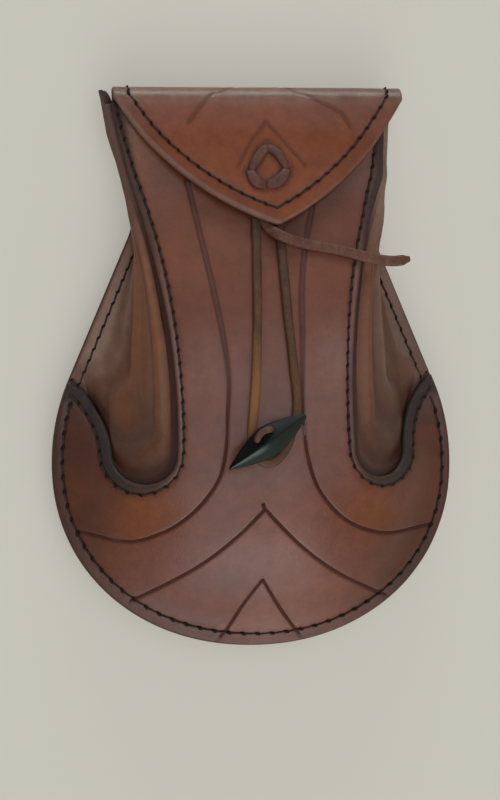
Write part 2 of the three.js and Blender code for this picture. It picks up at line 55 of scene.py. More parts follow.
# Rim: a superellipse for the belly, an arc and a straight slope for the shoulder, then the neck
BELLY_Y = -38.2
BELLY_HALF = 80.2
BELLY_DEPTH = 73.2
BELLY_POWER = 2.1
SHOULDER_RADIUS = 84.6
SHOULDER_TOP = -5.4
NECK_Y = 57.3
NECK_HALF = 46.95
NECK_SPREAD = 0.19
NECK_BLEND = 4

# Back: flat where it rests, curving up to the rim, then flat up to the fold
BOW_Y = -40
BOW_HALF = (70, 66)
BOW_FLAT = 0.62
BOW_HEIGHT = 7.5
FOLD_Y = 104.6
FOLD_RADIUS = 6.8
FOLD_Z = BOW_HEIGHT + FOLD_RADIUS
FOLD_LENGTH = math.pi * FOLD_RADIUS

# Flap: two bowed edges that meet in a blunt point
FLAP_CORNER_Y = 107
FLAP_TIP = (7.5, 56.6)
FLAP_TIP_HALF = 0.9
FLAP_LIFT = ((56, 3.4), (84, 3.0), (95, 1.3), (105, 0.8))
FLAP_SIDE_DROOP = 1.4
FLAP_DROOP_RUN = 14
FLAP_START = FOLD_Y + FOLD_LENGTH
# Pale band across the fold: wear, and a painted highlight
WORN_LIT_FOLD = FLAP_START - 5
WORN_LIT_FOLD_HALF = 4.5

# Front: a tongue up the middle, a domed belly, and two U cut-outs inside the horns at the rim
RIM_Z = BOW_HEIGHT + LEATHER + GAP + LEATHER
DOME_HEIGHT = 37.4
DOME_REACH = 0.94
DOME_POWER = 2.5
DOME_SOFT = 0.32
TONGUE_STRAIGHT = 76
TONGUE_TOP = 104.5
TONGUE_DROOP = (2, 0.5)
DROOP_Y = (40, 95)
ROOT_Y = (-60, -30)
MIDLINE = (
    (-60, 48.6), (-32, 50), (-10, 48.6), (10, 44.6), (28, 38.8), (46, 31.8),
    (63, 25.6), (74, 22.4), (85, 19.8), (97, 18.2), (108, 17.9),
)
HORN_LOW = 0.2
HORN_Y = (-46, -2)

# The two sides differ a little: the edges of flap and tongue, the cut-out, the horn, the gusset's mouth,
# and how strong the dye and the shade are
SIDES = {
    -1: {
        "name": "left", "corner": -56.9, "bow": 7.2,
        "waist_y": -28, "waist_half": 34.6, "flare": 660, "spread": 0.24,
        "cutout_y": -35, "cutout_radius": 12.1, "limb_radius": 36.4, "tip_y": -6, "lip": 7,
        "limb_dye": 0.15, "bowl_dye": 0.75, "tip_fade": 8, "tip_clear": 22,
        "neck_shade": 0.15, "flap_shade": 0.2,
    },
    1: {
        "name": "right", "corner": 59.5, "bow": 5.8,
        "waist_y": -12, "waist_half": 35.5, "flare": 480, "spread": 0.05,
        "cutout_y": -32.2, "cutout_radius": 11.6, "limb_radius": 41.6, "tip_y": -3, "lip": 0,
        "limb_dye": 0.5, "bowl_dye": 0.88, "tip_fade": 20.3, "tip_clear": 21.5,
        "neck_shade": 0.3, "flap_shade": 0.42,
    },
}

# Gussets: a row for each station along the seams
GUSSET_TOP = 103
GUSSET_PAST_TIP = 1.4
GUSSET_LEAD = 0.75
GUSSET_EDGE = 0.4
LIP_LENGTH = 0.06
LIP_FULL = 0.85
LEAN_STEP = 0.5
GUSSET_COLUMNS = ("station", "back_flange", "front_flange", "rise", "bulge_left", "bulge_right")
GUSSET_ROWS = (
    (0, 0.5, 4.2, 0, 4.2, 0.6),
    (0.05, 0.7, 4.5, 0, 3.3, 0.6),
    (0.12, 1, 4.5, 0, 2.1, 1),
    (0.2, 1.8, 4.5, 0.1, 2.5, 3.4),
    (0.26, 2.6, 4.5, 0.2, 3.4, 4.8),
    (0.35, 4, 4.5, 0.4, 4.4, 5),
    (0.6, 6.5, 4.5, 0.6, 4.4, 4.6),
    (0.76, 8.5, 4.2, 1, 3.4, 3.6),
    (0.86, 8.5, 0.8, 2, 1.5, 1.5),
    (0.92, 5, -1.4, 2, 0.7, 0.7),
    (1, 0.6, -1.4, 2, 0.1, 0.1),
)
# Folds of each gusset's wall: place from the back to the front, and height
GUSSET_FOLDS = {
    -1: (
        (0, 0), (0.08, -0.4), (0.2, 0.4), (0.3, -0.8), (0.37, -0.4), (0.43, 1.3),
        (0.5, 0.3), (0.62, 0.7), (0.74, -0.4), (0.86, 1.5), (0.95, -2.0), (1, 0),
    ),
    1: (
        (0, 0), (0.12, -0.5), (0.28, -0.2), (0.38, -1.2), (0.46, 1.8), (0.56, 0.7),
        (0.66, -1.3), (0.79, 1.5), (0.92, -2.2), (1, 0),
    ),
}
# Where folds and wrinkles start, are full, fade and end
FOLD_SPAN = (0.08, 0.3, 0.72, 0.95)
WRINKLE_ALONG = (0, 0.08, 0.88, 0.97)
WRINKLE_ACROSS = (0.1, 0.25, 0.85, 0.95)

# Belt loop on the back
LOOP_HALF = 28
LOOP_Y = (28, 103)
LOOP_SEWN = 12
LOOP_RAMP = 5
LOOP_STEP = 1.0
LOOP_EASING = 3
LOOP_WORN = (0.1, 0.9)

# Toggle and its tie
TOGGLE_PLACE = (0.2, -29.6, 56.8)
TOGGLE_TURN = math.radians(35)
TOGGLE_FLATNESS = 0.72
TOGGLE_PROFILE = (
    (-19.2, 0.05), (-18.5, 0.7), (-8.7, 4.5), (0, 6.2), (8.7, 4.5), (16.8, 1.4), (17.8, 0.8), (18, 0.05),
)
TOGGLE_SOFTNESS = 1.16
TOGGLE_SIDES = 48
TOGGLE_RINGS = (10, 66, 14)
POINT_RUN = 2.2
MIDDLE_INSET = 2.5
# Angles round the toggle where its green face, lighter as painted light, and its painted highlight streak
# start, are full, fade and end
GREEN_FACE = (math.radians(88), math.radians(93), 5, 6)
HIGHLIGHT_STREAK = (math.radians(90), math.radians(94), 1.75, 2.2)
GREEN_RIGHT = (-3, 4)
GREEN_SHARE = 0.55
STREAK_LEFT = (0, 6)
STREAK_TIP = 1.5
TIE_HOLES = ((3.4, 2.9), (-4, 2.7))
TIE_HOLE_RADIUS = 1.6
TIE_ROUTE = (
    (3.4, 2.9, 50.3), (3.4, 2.9, 54), (3.4, 2.9, 57.6), (2.5, 3.9, 60), (-0.2, 4.6, 60.4),
    (-2.9, 3.9, 60), (-4, 2.7, 58.2), (-4, 2.7, 56.2),
)
TIE_HALF = (1.2, 1.35)
TIE_STEP = 0.6

# Lace: the loop round the toggle and the free end, as places on the front and a lift above it
LACE_HALF = (1.85, 1.2)
LACE_LIFT = 1.65
LACE_SINK = 0.35
LACE_STEP = 1.0
LACE_TWIST = 0.16
TWIST_NOISE = (18, 7.7)
WANDER_NOISE = (14, 3.1)
LOOP_WANDER = 0.07
TAIL_WANDER = 0.02
TAIL_WIDTH = 1.15
TAIL_TIP = 0.55
TAIL_TIP_RUN = 3
LOOP_PLACES = (
    (-0.8, 71), (-0.9, 58), (-1.4, 40), (-2.3, 20), (-3.3, 0), (-4.4, -15), (-5.2, -23), (-5.4, -30),
    (-3.6, -35.6), (0.8, -38.2), (5.2, -36.4), (8.4, -31.4), (10.8, -25), (12.6, -16), (11.5, 0), (10, 20),
    (9.1, 40), (8.6, 58), (8.4, 71),
)
LOOP_ROUTE = [(x, y, LACE_LIFT) for x, y in LOOP_PLACES]
END_ROUTE = (
    (2.1, 63, 1.65), (2.6, 58.2, 1.65), (4.2, 54.9, 2.6), (6.4, 52.9, 4.3), (9, 51.5, 4.8),
    (12.6, 50.2, 3.9), (18.4, 48.6, 2.1), (25, 47.4, 1.65), (32.5, 46.1, 1.65), (41, 43.9, 1.5),
    (48, 42.4, 0.6), (54.5, 41.9, -0.4), (60.7, 42.8, -1.6),
)

# Lacing: holes in the flap, and the bars of lace from hole to hole
LACING_CENTRE = (4.4, 79.4)
LACING_HOLES = ((4.4, 87.6), (-2.8, 78), (3.4, 72), (12, 78.6))
LACING_THICK = 0.75
LACING_STEPS = 22
LACING_HEIGHT = (-1.2, 1.0)
LACING_NARROW = 0.66
# How far each bar bows outward, and its half width
LACING_BARS = ((0.5, 2), (1.9, 2.4), (1.8, 2.3), (0.9, 1.8))

# Tooled lines on the front
FRONT_LINES = (
    ((-27.5, 74), (-23.6, 54), (-19.8, 34), (-16.4, 14), (-14.4, -5.5), (-15.1, -20.6), (-15.7, -33.6),
     (-17.6, -42.7), (-22, -50.7), (-29.1, -58.8), (-38.5, -65.4), (-50.6, -69.4), (-69.9, -65.8)),
    ((22.3, 64.2), (19.8, 53), (17.6, 42), (16.3, 30), (15.7, 16), (15.1, 0), (14.9, -11), (15.2, -22.3),
     (17, -35.7), (22, -49.3), (33.6, -61), (50.3, -66.3), (70.9, -63.4)),
    ((0.1, -56.5), (-9.2, -66.1), (-22.4, -77.5), (-38.2, -87.6), (-49.7, -93.5)),
    ((-0.9, -54.3), (0.1, -56.5), (13.4, -69.5), (28.4, -80.3), (45.1, -88.1), (54.8, -91.8)),
    ((0.8, -84.6), (-5.2, -93.9), (-10.5, -104.3), (-14.6, -109.6)),
    ((0.8, -84.6), (8.3, -95.1), (17.1, -105.3), (20.6, -109)),
)
# Tooled lines on the flap: a chevron, and an arch that runs up over the fold;
# the arch's shoulders have an x and a distance back from the start of the flap
FLAP_CHEVRON = (
    ((4.2, 97.7), (-2.2, 89.3), (-7.5, 79.8)),
    ((4.2, 97.7), (10.5, 90.5), (19.2, 80.4)),
)
ARCH_FEET = ((-27.1, 97.1), (38, 96.3))
ARCH_SIDES = ((-20.2, 105.9), (34, 101.5))
ARCH_TOP = (3.6, FLAP_START - 15)
ARCH_SHOULDERS = ((-13.4, 6.1), (15.9, 6.4))

# Seams: distance inside the edge
RIM_INSETS = ((-112, 4.7), (-96, 4.5), (-56, 3.6), (112, 3.6))
TONGUE_INSETS = {
    -1: ((-35, 2.4), (0, 2.4), (35, 3.2), (62, 3.2), (96, 2), (105, 2)),
    1: ((-35, 2.4), (0, 2.4), (35, 3), (58, 3.4), (76, 4.6), (90, 3.4), (105, 2)),
}
CUTOUT_INSET = 2.4
HORN_INSET = 4.1
FLAP_INSET = 6.2
SHOULDER_INSET = 4.4
SHOULDER_SEAM_TOP = 58
LOOP_INSET = 3.4
SEAM_BELOW_TIP = (9, 5)
SHOULDER_PAST_TIP = 4
RIM_SEAM_TOP = FOLD_Y - 4
BOWL_SPAN = 0.4
# Stitches: the way from hole to hole, the thread's half width and height,
# and the bead's half length, width and height
RIM_STITCH = {"pitch": 5.8, "thread": (0.34, 0.28), "bead": (1.3, 0.7, 0.42)}
FINE_STITCH = {"pitch": 5.1, "thread": (0.42, 0.3), "bead": (1.15, 0.56, 0.36)}
BEAD_SLANT = math.radians(-24)
BEAD_STEPS = 8
BEAD_SINK = 0.1
THREAD_SIDES = 8
THREAD_STEPS = 9
THREAD_SLANT = 0.2
THREAD_DIP = 0.34
THREAD_ARCH = 0.6
THREAD_NARROW = 0.85
# Height of the thread on the moulded sheets, and on flat leather
SHEET_LIFT = 0.12
FLAT_LIFT = 0.1

# Relief: heights and half widths
EDGE_ROUND = 0.95
GROOVE_DEPTH = 0.22
GROOVE_HALF = (0.78, 1.1)
GROOVE_SOFT = 0.4
GROOVE_FLOOR = (0.92, 0.45)
GROOVE_Y = (-25, 8)
FLOOR_HALF = (0.7, 0.12)
FLOOR_SINK = 0.2
FLOOR_TO_RIM = 1.4
FINE_GROOVE = (0.3, 0.75, 0.45)
CHANNEL_DEPTH = 0.3
FINE_CHANNEL = 0.16
CHANNEL_HALF = 0.6
HOLE_DENT = 0.25
HOLE_DENT_HALF = 0.7
LACING_DENT = 0.8
LACING_DENT_HALF = 1.3
INSIDE_SHADE = 0.6
MARGIN_CROWN = 0.22
CROWN_WIDTH = 3
# Unevenness of the leather: height, size of the lumps, shift
FRONT_LUMPS = ((0.22, 17, 0.0), (0.05, 6, 5.2))
SHEET_LUMPS = ((0.16, 19, 2.3), (0.04, 6, 8.1))
WALL_LUMPS = ((0.22, 7, 4.4), (0.1, 3.2, 9.2))

# Mesh fineness
EDGE_STEP = 0.9
GRID_STEP = 1.5
ROW_STEP = 0.9
EDGE_ROWS = (0.35, 0.8, 1.5, 2.4)
GROOVE_ROWS = (0, 0.5, -0.5, 1.0, -1.0, 1.6, -1.6)
SEAM_ROWS = (0, 0.45, -0.45, 0.95, -0.95)
GUSSET_ALONG = 190
GUSSET_ACROSS = (9, 48, 5)
GUSSET_EASING = 3
RIM_POINTS = (240, 200)
CUT_POINTS = (160, 60, 50)
FLAP_POINTS = (40, 120)
SHOULDER_POINTS = 120
SHADOW_POINTS = 60
SLOPE_STEP = 0.4
BATCH = 2000
# Least distance of a new point from the points beside an edge, in a row and in the grid
EDGE_GAP = 0.3
ROW_GAP = 0.4
GRID_GAP = 0.75 * GRID_STEP
EDGE_CLEAR = 0.25


# Numbers

def smoothstep(value, low, high):
    share = np.clip((value - low) / (high - low), 0, 1)
    return share * share * (3 - 2 * share)


def fall(value, low, high):
    """One up to a low value, falling smoothly to nothing at a high one."""
    return 1 - smoothstep(value, low, high)


def band(value, start, full, fade, end):
    """Nothing, rising to one, then falling to nothing again."""
    return smoothstep(value, start, full) * fall(value, fade, end)


def strongest(*values):
    """Largest of several values at each place."""
    return functools.reduce(np.maximum, values)


def lerp(a, b, share):
    return a + (b - a) * share


def smooth_max(a, b, blend):
    """Largest of two values, rounded where they cross."""
    share = np.maximum(blend - np.abs(a - b), 0) / blend
    return np.maximum(a, b) + share * share * blend / 4


def through(table, at, column=1):
    """Smooth curve through a table's rows: a column's value at a place in the first column."""
    rows = np.asarray(table, float)
    key = rows[:, 0]
    value = rows[:, column]
    last = len(rows) - 1
    place = np.clip(at, key[0], key[last])
    n = np.clip(np.searchsorted(key, place) - 1, 0, last - 1)
    before = np.maximum(np.arange(last + 1) - 1, 0)
    after = np.minimum(np.arange(last + 1) + 1, last)
    slope = (value[after] - value[before]) / (key[after] - key[before])
    width = key[n + 1] - key[n]
    t = (place - key[n]) / width
    rise = t * t * (3 - 2 * t)
    leave = slope[n] * width * t * (1 - t) ** 2
    arrive = slope[n + 1] * width * t * t * (1 - t)
    return lerp(value[n], value[n + 1], rise) + leave - arrive


def unit(vectors):
    return vectors / np.maximum(np.linalg.norm(vectors, axis=-1, keepdims=True), 1e-9)


def bell(distance, half):
    """One on a line, falling smoothly to nothing beside it."""
    return np.exp(-((distance / half) ** 2))


def trough(distance, half, soft):
    """One on a flat-bottomed line, falling to nothing past its half width."""
    return fall(distance, half - soft, half + soft)


def lumps(points, size, shift=0.0):
    """Smooth noise in space, from about -1 to 1, with lumps of a size."""
    offset = Vector((shift, shift * 0.7, shift * 1.3))
    return np.array([noise.noise(Vector(p) / size + offset) for p in points.tolist()])


def uneven(points, table):
    """Lumps of several heights and sizes together."""
    return sum(height * lumps(points, size, shift) for height, size, shift in table)


# Lines

def travelled(line):
    steps = np.linalg.norm(np.diff(line, axis=0), axis=1)
    return np.concatenate([[0], np.cumsum(steps)])


def closed(line):
    return np.vstack([line, line[:1]])


def points_at(line, run, at):
    """Points of a line at places along its run."""
    return np.column_stack([np.interp(at, run, line[:, k]) for k in range(line.shape[1])])


def spaced(line, step):
    """Points along a line at even steps, both ends kept."""
    line = np.asarray(line, float)
    run = travelled(line)
    count = max(int(round(run[-1] / step)), 1)
    at = np.linspace(0, run[-1], count + 1)
    return points_at(line, run, at)


def curve(points, step):
    """Smooth line through a few points, at even steps."""
    points = np.asarray(points, float)
    run = travelled(points)
    at = np.linspace(0, run[-1], max(int(run[-1] / step) * 2, 8))
    table = np.column_stack([run, points])
    line = np.column_stack([through(table, at, 1 + k) for k in range(points.shape[1])])
    return spaced(line, step)


def left_of(line):
    """Flat unit vectors that point to the left of a line's run."""
    ahead = unit(np.gradient(line, axis=0))
    return np.column_stack([-ahead[:, 1], ahead[:, 0]])


def beside(line, distance):
    return line + left_of(line) * distance


def distance_to(points, line):
    """Distance from flat points to a flat line."""
    start = line[:-1]
    way = np.diff(line, axis=0)
    size = np.maximum((way ** 2).sum(axis=1), 1e-12)
    found = np.empty(len(points))
    for i in range(0, len(points), BATCH):
        part = points[i:i + BATCH, None, :] - start[None]
        share = np.clip((part * way).sum(axis=2) / size, 0, 1)
        gap = part - share[..., None] * way
        found[i:i + BATCH] = np.sqrt((gap ** 2).sum(axis=2).min(axis=1))
    return found


def nearest(points, lines):
    """Smallest distance from flat points to any of several lines."""
    return np.min([distance_to(points, line) for line in lines], axis=0)


def nearest_hole(points, holes):
    """Smallest distance from flat points to a hole."""
    return np.linalg.norm(points[:, None] - holes[None], axis=2).min(axis=1)


def inside(points, outline):
    """Which flat points lie inside a closed outline."""
    a = outline
    b = np.roll(outline, -1, axis=0)
    found = np.zeros(len(points), bool)
    for i in range(0, len(points), BATCH):
        x = points[i:i + BATCH, 0, None]
        y = points[i:i + BATCH, 1, None]
        spans = (a[:, 1] > y) != (b[:, 1] > y)
        rise = np.where(b[:, 1] == a[:, 1], 1, b[:, 1] - a[:, 1])
        crossing = a[:, 0] + (y - a[:, 1]) / rise * (b[:, 0] - a[:, 0])
        found[i:i + BATCH] = (spans & (x < crossing)).sum(axis=1) % 2 == 1
    return found


# Surfaces

def rim_half(y):
    """Half width of the back's outline."""
    y = np.asarray(y, float)
    reach = np.clip((BELLY_Y - y) / BELLY_DEPTH, 0, 1)
    belly = BELLY_HALF * (1 - reach ** BELLY_POWER) ** (1 / BELLY_POWER)
    arc_y = np.clip(y, BELLY_Y, SHOULDER_TOP)
    arc = BELLY_HALF - SHOULDER_RADIUS + np.sqrt(SHOULDER_RADIUS ** 2 - (arc_y - BELLY_Y) ** 2)
    rise = SHOULDER_TOP - BELLY_Y
    lean = rise / math.sqrt(SHOULDER_RADIUS ** 2 - rise ** 2)
    shoulder = arc - lean * np.maximum(y - SHOULDER_TOP, 0)
    neck = NECK_HALF + NECK_SPREAD * (y - NECK_Y)
    return np.where(y <= BELLY_Y, belly, smooth_max(shoulder, neck, NECK_BLEND))


def belly_line():
    """Right half of the belly's outline, from its lowest point to its widest."""
    angle = np.linspace(math.pi / 2, 0, RIM_POINTS[0])
    x = BELLY_HALF * np.cos(angle) ** (2 / BELLY_POWER)
    y = BELLY_Y - BELLY_DEPTH * np.sin(angle) ** (2 / BELLY_POWER)
    x[0] = 0
    return np.column_stack([x, y])


def back_outer(x, y):
    """Height of the back's outer face."""
    reach = np.hypot(x / BOW_HALF[0], (y - BOW_Y) / BOW_HALF[1])
    return BOW_HEIGHT * smoothstep(reach, BOW_FLAT, 1)


def by_side(x, key):
    """A size of the side that each place lies on."""
    return np.where(np.asarray(x) < 0, SIDES[-1][key], SIDES[1][key])


def tongue_half(y, x):
    """Half width of the tongue on the side of x: it flares above and below its waist."""
    rise = np.clip(y, by_side(x, "cutout_y"), TONGUE_STRAIGHT) - by_side(x, "waist_y")
    spread = by_side(x, "spread") * np.maximum(y - TONGUE_STRAIGHT, 0)
    return by_side(x, "waist_half") + rise ** 2 / by_side(x, "flare") + spread


def cutout_x(x):
    """Middle of the cut-out on the side of x."""
    return tongue_half(by_side(x, "cutout_y"), x) + by_side(x, "cutout_radius")


def limb_x(x):
    """Middle of the arc that bounds the horn on the side of x."""
    return cutout_x(x) + by_side(x, "cutout_radius") + by_side(x, "limb_radius")


def horn_inner(y, x):
    """Inner edge of the horn on the side of x."""
    low = by_side(x, "cutout_y")
    rise = np.clip(y, low, by_side(x, "tip_y")) - low
    return limb_x(x) - np.sqrt(by_side(x, "limb_radius") ** 2 - rise ** 2)


def dome(x, y):
    """Domed belly and horns: full height in the middle, flat on the rim."""
    side = np.abs(x) / BELLY_HALF
    drop = np.maximum(BELLY_Y - y, 0) / BELLY_DEPTH
    belly_reach = (side ** BELLY_POWER + drop ** BELLY_POWER) ** (1 / BELLY_POWER)
    reach = np.where(y < BELLY_Y, belly_reach, np.abs(x) / rim_half(y))
    crown = smooth_max(1 - (reach / DOME_REACH) ** DOME_POWER, 0, DOME_SOFT)
    horn = lerp(1, HORN_LOW, smoothstep(y, *HORN_Y))
    return RIM_Z + DOME_HEIGHT * horn * crown


def front_top(x, y):
    """Height of the front's outer face."""
    edge = tongue_half(y, x)
    droop = lerp(*TONGUE_DROOP, smoothstep(y, *DROOP_Y))
    tongue = through(MIDLINE, y) - droop * (np.abs(x) / edge) ** 2
    in_tongue = fall(np.abs(x), edge, horn_inner(y, x))
    return lerp(dome(x, y), tongue, in_tongue * smoothstep(y, *ROOT_Y))


def steps_over(place, flat):
    """Points of a face, and its small steps across and ahead."""
    x, y = flat[:, 0], flat[:, 1]
    across = place(x + SLOPE_STEP, y) - place(x - SLOPE_STEP, y)
    ahead = place(x, y + SLOPE_STEP) - place(x, y - SLOPE_STEP)
    return place(x, y), across, ahead


def front_surface(flat):
    """Points and outward unit vectors of the front's outer face."""
    def place(x, y):
        return np.column_stack([x, y, front_top(x, y)])

    points, across, ahead = steps_over(place, flat)
    return points, unit(np.cross(across, ahead))


def flap_edge(side, y):
    """Edge of the flap: an arc from a corner on the fold to the point."""
    corner = np.array([SIDES[side]["corner"], FLAP_CORNER_Y])
    tip = np.array([FLAP_TIP[0] + side * FLAP_TIP_HALF, FLAP_TIP[1]])
    chord = tip - corner
    bow = SIDES[side]["bow"]
    radius = (chord @ chord) / (8 * bow) + bow / 2
    inward = -side * unit(np.array([-chord[1], chord[0]]))
    centre = (corner + tip) / 2 + inward * (radius - bow)
    return centre[0] + side * np.sqrt(radius ** 2 - (np.minimum(y, FLAP_CORNER_Y) - centre[1]) ** 2)


def flap_outer(y):
    """Height of the flap's outer face, which meets the fold at the top."""
    def under(at):
        return through(MIDLINE, at) + through(FLAP_LIFT, at)

    settle = FOLD_Z + FOLD_RADIUS - LEATHER - under(FOLD_Y)
    return under(y) + settle * smoothstep(y, FLAP_TIP[1], FOLD_Y) + LEATHER


def sheet_place(x, s):
    """Points of the back and flap's outer face: s runs up the back, over the fold and down the flap."""
    on_back = s < FOLD_Y
    angle = np.clip((s - FOLD_Y) / FOLD_RADIUS, 0, math.pi) - math.pi / 2
    flap_y = FOLD_Y - np.maximum(s - FLAP_START, 0)
    on_flap = s > FLAP_START
    droop = smoothstep(s, FLAP_START, FLAP_START + FLAP_DROOP_RUN)
    droop = droop * FLAP_SIDE_DROOP * (x / SIDES[1]["corner"]) ** 2
    y = np.where(on_back, s, np.where(on_flap, flap_y, FOLD_Y + FOLD_RADIUS * np.cos(angle)))
    fold_z = FOLD_Z + FOLD_RADIUS * np.sin(angle)
    z = np.where(on_back, back_outer(x, s), np.where(on_flap, flap_outer(flap_y) - droop, fold_z))
    return np.column_stack([x, y, z])


def sheet_surface(flat):
    """Points and outward unit vectors of the back and flap's outer face."""
    points, across, ahead = steps_over(sheet_place, flat)
    return points, unit(np.cross(ahead, across))


def sheet_s(y):
    """Place in the sheet of a height on the flap or on the front of the fold."""
    angle = np.arccos(np.clip((y - FOLD_Y) / FOLD_RADIUS, 0, 1))
    return FLAP_START + np.maximum(FOLD_Y - y, 0) - FOLD_RADIUS * (math.pi / 2 - angle)


def on_sheet(points):
    points = np.asarray(points, float)
    return np.column_stack([points[:, 0], sheet_s(points[:, 1])])


# Outlines and seams

def arc(centre, radius, start, end, count):
    """Points on an arc, without its first."""
    angle = np.linspace(start, end, count)[1:]
    return np.column_stack([centre[0] + radius * np.cos(angle), centre[1] + radius * np.sin(angle)])


def cut_line(side):
    """Front edge of one side, as half widths, from the tongue's top round the cut-out to the horn's tip."""
    size = SIDES[side]
    low = size["cutout_y"]
    limb_count, bowl_count, horn_count = CUT_POINTS
    limb_y = np.linspace(TONGUE_TOP, low, limb_count)
    limb = np.column_stack([tongue_half(limb_y, side), limb_y])
    tip = math.pi - math.asin((size["tip_y"] - low) / size["limb_radius"])
    bowl = arc((cutout_x(side), low), size["cutout_radius"], math.pi, 2 * math.pi, bowl_count)
    horn = arc((limb_x(side), low), size["limb_radius"], math.pi, tip, horn_count)
    return np.vstack([limb, bowl, horn])


def mirrored(line):
    return line * np.array([-1, 1])


def rim_line(top):
    """Right half of the rim, from the bottom of the belly up to a height."""
    y = np.linspace(BELLY_Y, top, RIM_POINTS[1])[1:]
    return np.vstack([belly_line(), np.column_stack([rim_half(y), y])])


def whole_rim(left_top, right_top):
    """Rim from a height on the left round the bottom to a height on the right."""
    return np.vstack([mirrored(rim_line(left_top))[::-1], rim_line(right_top)[1:]])


FRONT_RIM = whole_rim(SIDES[-1]["tip_y"], SIDES[1]["tip_y"])
CUT_LINES = {side: cut_line(side) for side in (-1, 1)}


def flap_line(side):
    """Edge of the fold and flap in the sheet, from the back's corner to the flap's point."""
    share = np.linspace(0, 1, FLAP_POINTS[0])
    fold_y = FOLD_Y + FOLD_RADIUS * np.sin(math.pi * share)
    behind = lerp(side * rim_half(FOLD_Y), SIDES[side]["corner"], np.minimum(2 * share, 1))
    fold_x = np.where(share > 0.5, flap_edge(side, fold_y), behind)
    fold = np.column_stack([fold_x, FOLD_Y + share * FOLD_LENGTH])
    y = np.linspace(FOLD_Y, FLAP_TIP[1], FLAP_POINTS[1])[1:]
    flap = np.column_stack([flap_edge(side, y), FLAP_START + FOLD_Y - y])
    return np.vstack([fold, flap])


def trimmed_pair(left, right):
    """Two seams cut where they cross."""
    gaps = np.linalg.norm(left[:, None] - right[None], axis=2)
    i, j = np.unravel_index(gaps.argmin(), gaps.shape)
    return left[:i + 1], right[:j + 1]


class Seam:
    """A seam's line, its holes and its kind of stitch."""

    def __init__(self, line, stitch):
        self.line = spaced(line, ROW_STEP)
        self.holes = spaced(line, stitch["pitch"])
        self.stitch = stitch


def cut_inset(line, side):
    """Distance of the seam inside the cut edge: small up the tongue, wider round to the horn."""
    radius = SIDES[side]["cutout_radius"]
    around = smoothstep(line[:, 0] - cutout_x(side), -radius, BOWL_SPAN * radius)
    on_tongue = np.arange(len(line)) < line[:, 1].argmin()
    up_tongue = on_tongue & (line[:, 1] > SIDES[side]["cutout_y"])
    return lerp(through(TONGUE_INSETS[side], line[:, 1]), HORN_INSET, np.where(up_tongue, 0, around))


def inside_rim(rim):
    """Line of the rim's seam."""
    return beside(rim, through(RIM_INSETS, rim[:, 1])[:, None])


def front_seams():
    rim = inside_rim(FRONT_RIM)
    rim_below, cut_below = SEAM_BELOW_TIP
    keep = rim[:, 1] < by_side(rim[:, 0], "tip_y") - rim_below
    seams = [Seam(rim[keep], RIM_STITCH)]
    for side, line in CUT_LINES.items():
        inner = line - left_of(line) * cut_inset(line, side)[:, None]
        on_tongue = np.arange(len(line)) < line[:, 1].argmin()
        inner = inner[on_tongue | (inner[:, 1] < SIDES[side]["tip_y"] - cut_below)]
        seams.append(Seam(inner * np.array([side, 1]), FINE_STITCH))
    return seams


def sheet_seams():
    left = beside(flap_line(-1), -FLAP_INSET)
    right = beside(flap_line(1), FLAP_INSET)
    left, right = trimmed_pair(left, right)
    rim = inside_rim(whole_rim(RIM_SEAM_TOP, RIM_SEAM_TOP))
    return [Seam(left, FINE_STITCH), Seam(right, FINE_STITCH), Seam(rim, RIM_STITCH)]


# Meshes

def put_in_scene(name, data):
    made = bpy.data.objects.new(name, data)
    bpy.context.scene.collection.objects.link(made)
    return made


def add_piece(name, mesh, material, node=None):
    """Put a mesh in the scene as a piece of the object."""
    piece = put_in_scene(name, mesh)
    mesh.materials.append(material)
    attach(piece, "root")
    if node:
        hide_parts(node)
    return piece


def make_mesh(name, points, faces, **values):
    """Smooth mesh from points in millimetres, with a number for each point under each name."""
    mesh = bpy.data.meshes.new(name)
    mesh.from_pydata((points * MM).tolist(), [], faces)
    mesh.polygons.foreach_set("use_smooth", np.ones(len(mesh.polygons), bool))
    for key, numbers in values.items():
        attribute = mesh.attributes.new(key, "FLOAT", "POINT")
        attribute.data.foreach_set("value", np.asarray(numbers, np.float32))
    mesh.update()
    return mesh


def joined(parts):
    """One list of points and one of faces from several."""
    points = []
    faces = []
    count = 0
    for part_points, part_faces in parts:
        points.append(part_points)
        faces.extend([tuple(k + count for k in face) for face in part_faces])
        count += len(part_points)
    return np.vstack(points), faces


def grid_faces(rows, columns, round_rows=False):
    """Quads of a grid of points; round_rows closes each row on itself."""
    faces = []
    for i in range(rows - 1):
        for j in range(columns if round_rows else columns - 1):
            k = (j + 1) % columns
            faces.append((i * columns + j, i * columns + k, (i + 1) * columns + k, (i + 1) * columns + j))
    return faces


def tube_faces(rows, columns):
    """Faces of a tube of closed rows, with both ends shut."""
    last = (rows - 1) * columns
    ends = [tuple(reversed(range(columns))), tuple(range(last, last + columns))]
    return grid_faces(rows, columns, True) + ends


def flipped(faces):
    return [tuple(reversed(face)) for face in faces]


def spread_out(groups, cell):
    """Points of several groups in turn; one is kept if no kept point is nearer than its group's gap."""
    kept = []
    cells = {}
    for points, gap in groups:
        for x, y in points.tolist():
            i, j = int(x // cell), int(y // cell)
            around = (p for a in (-1, 0, 1) for b in (-1, 0, 1) for p in cells.get((i + a, j + b), ()))
            if any((x - p[0]) ** 2 + (y - p[1]) ** 2 < gap * gap for p in around):
                continue
            cells.setdefault((i, j), []).append((x, y))
            kept.append((x, y))
    return kept


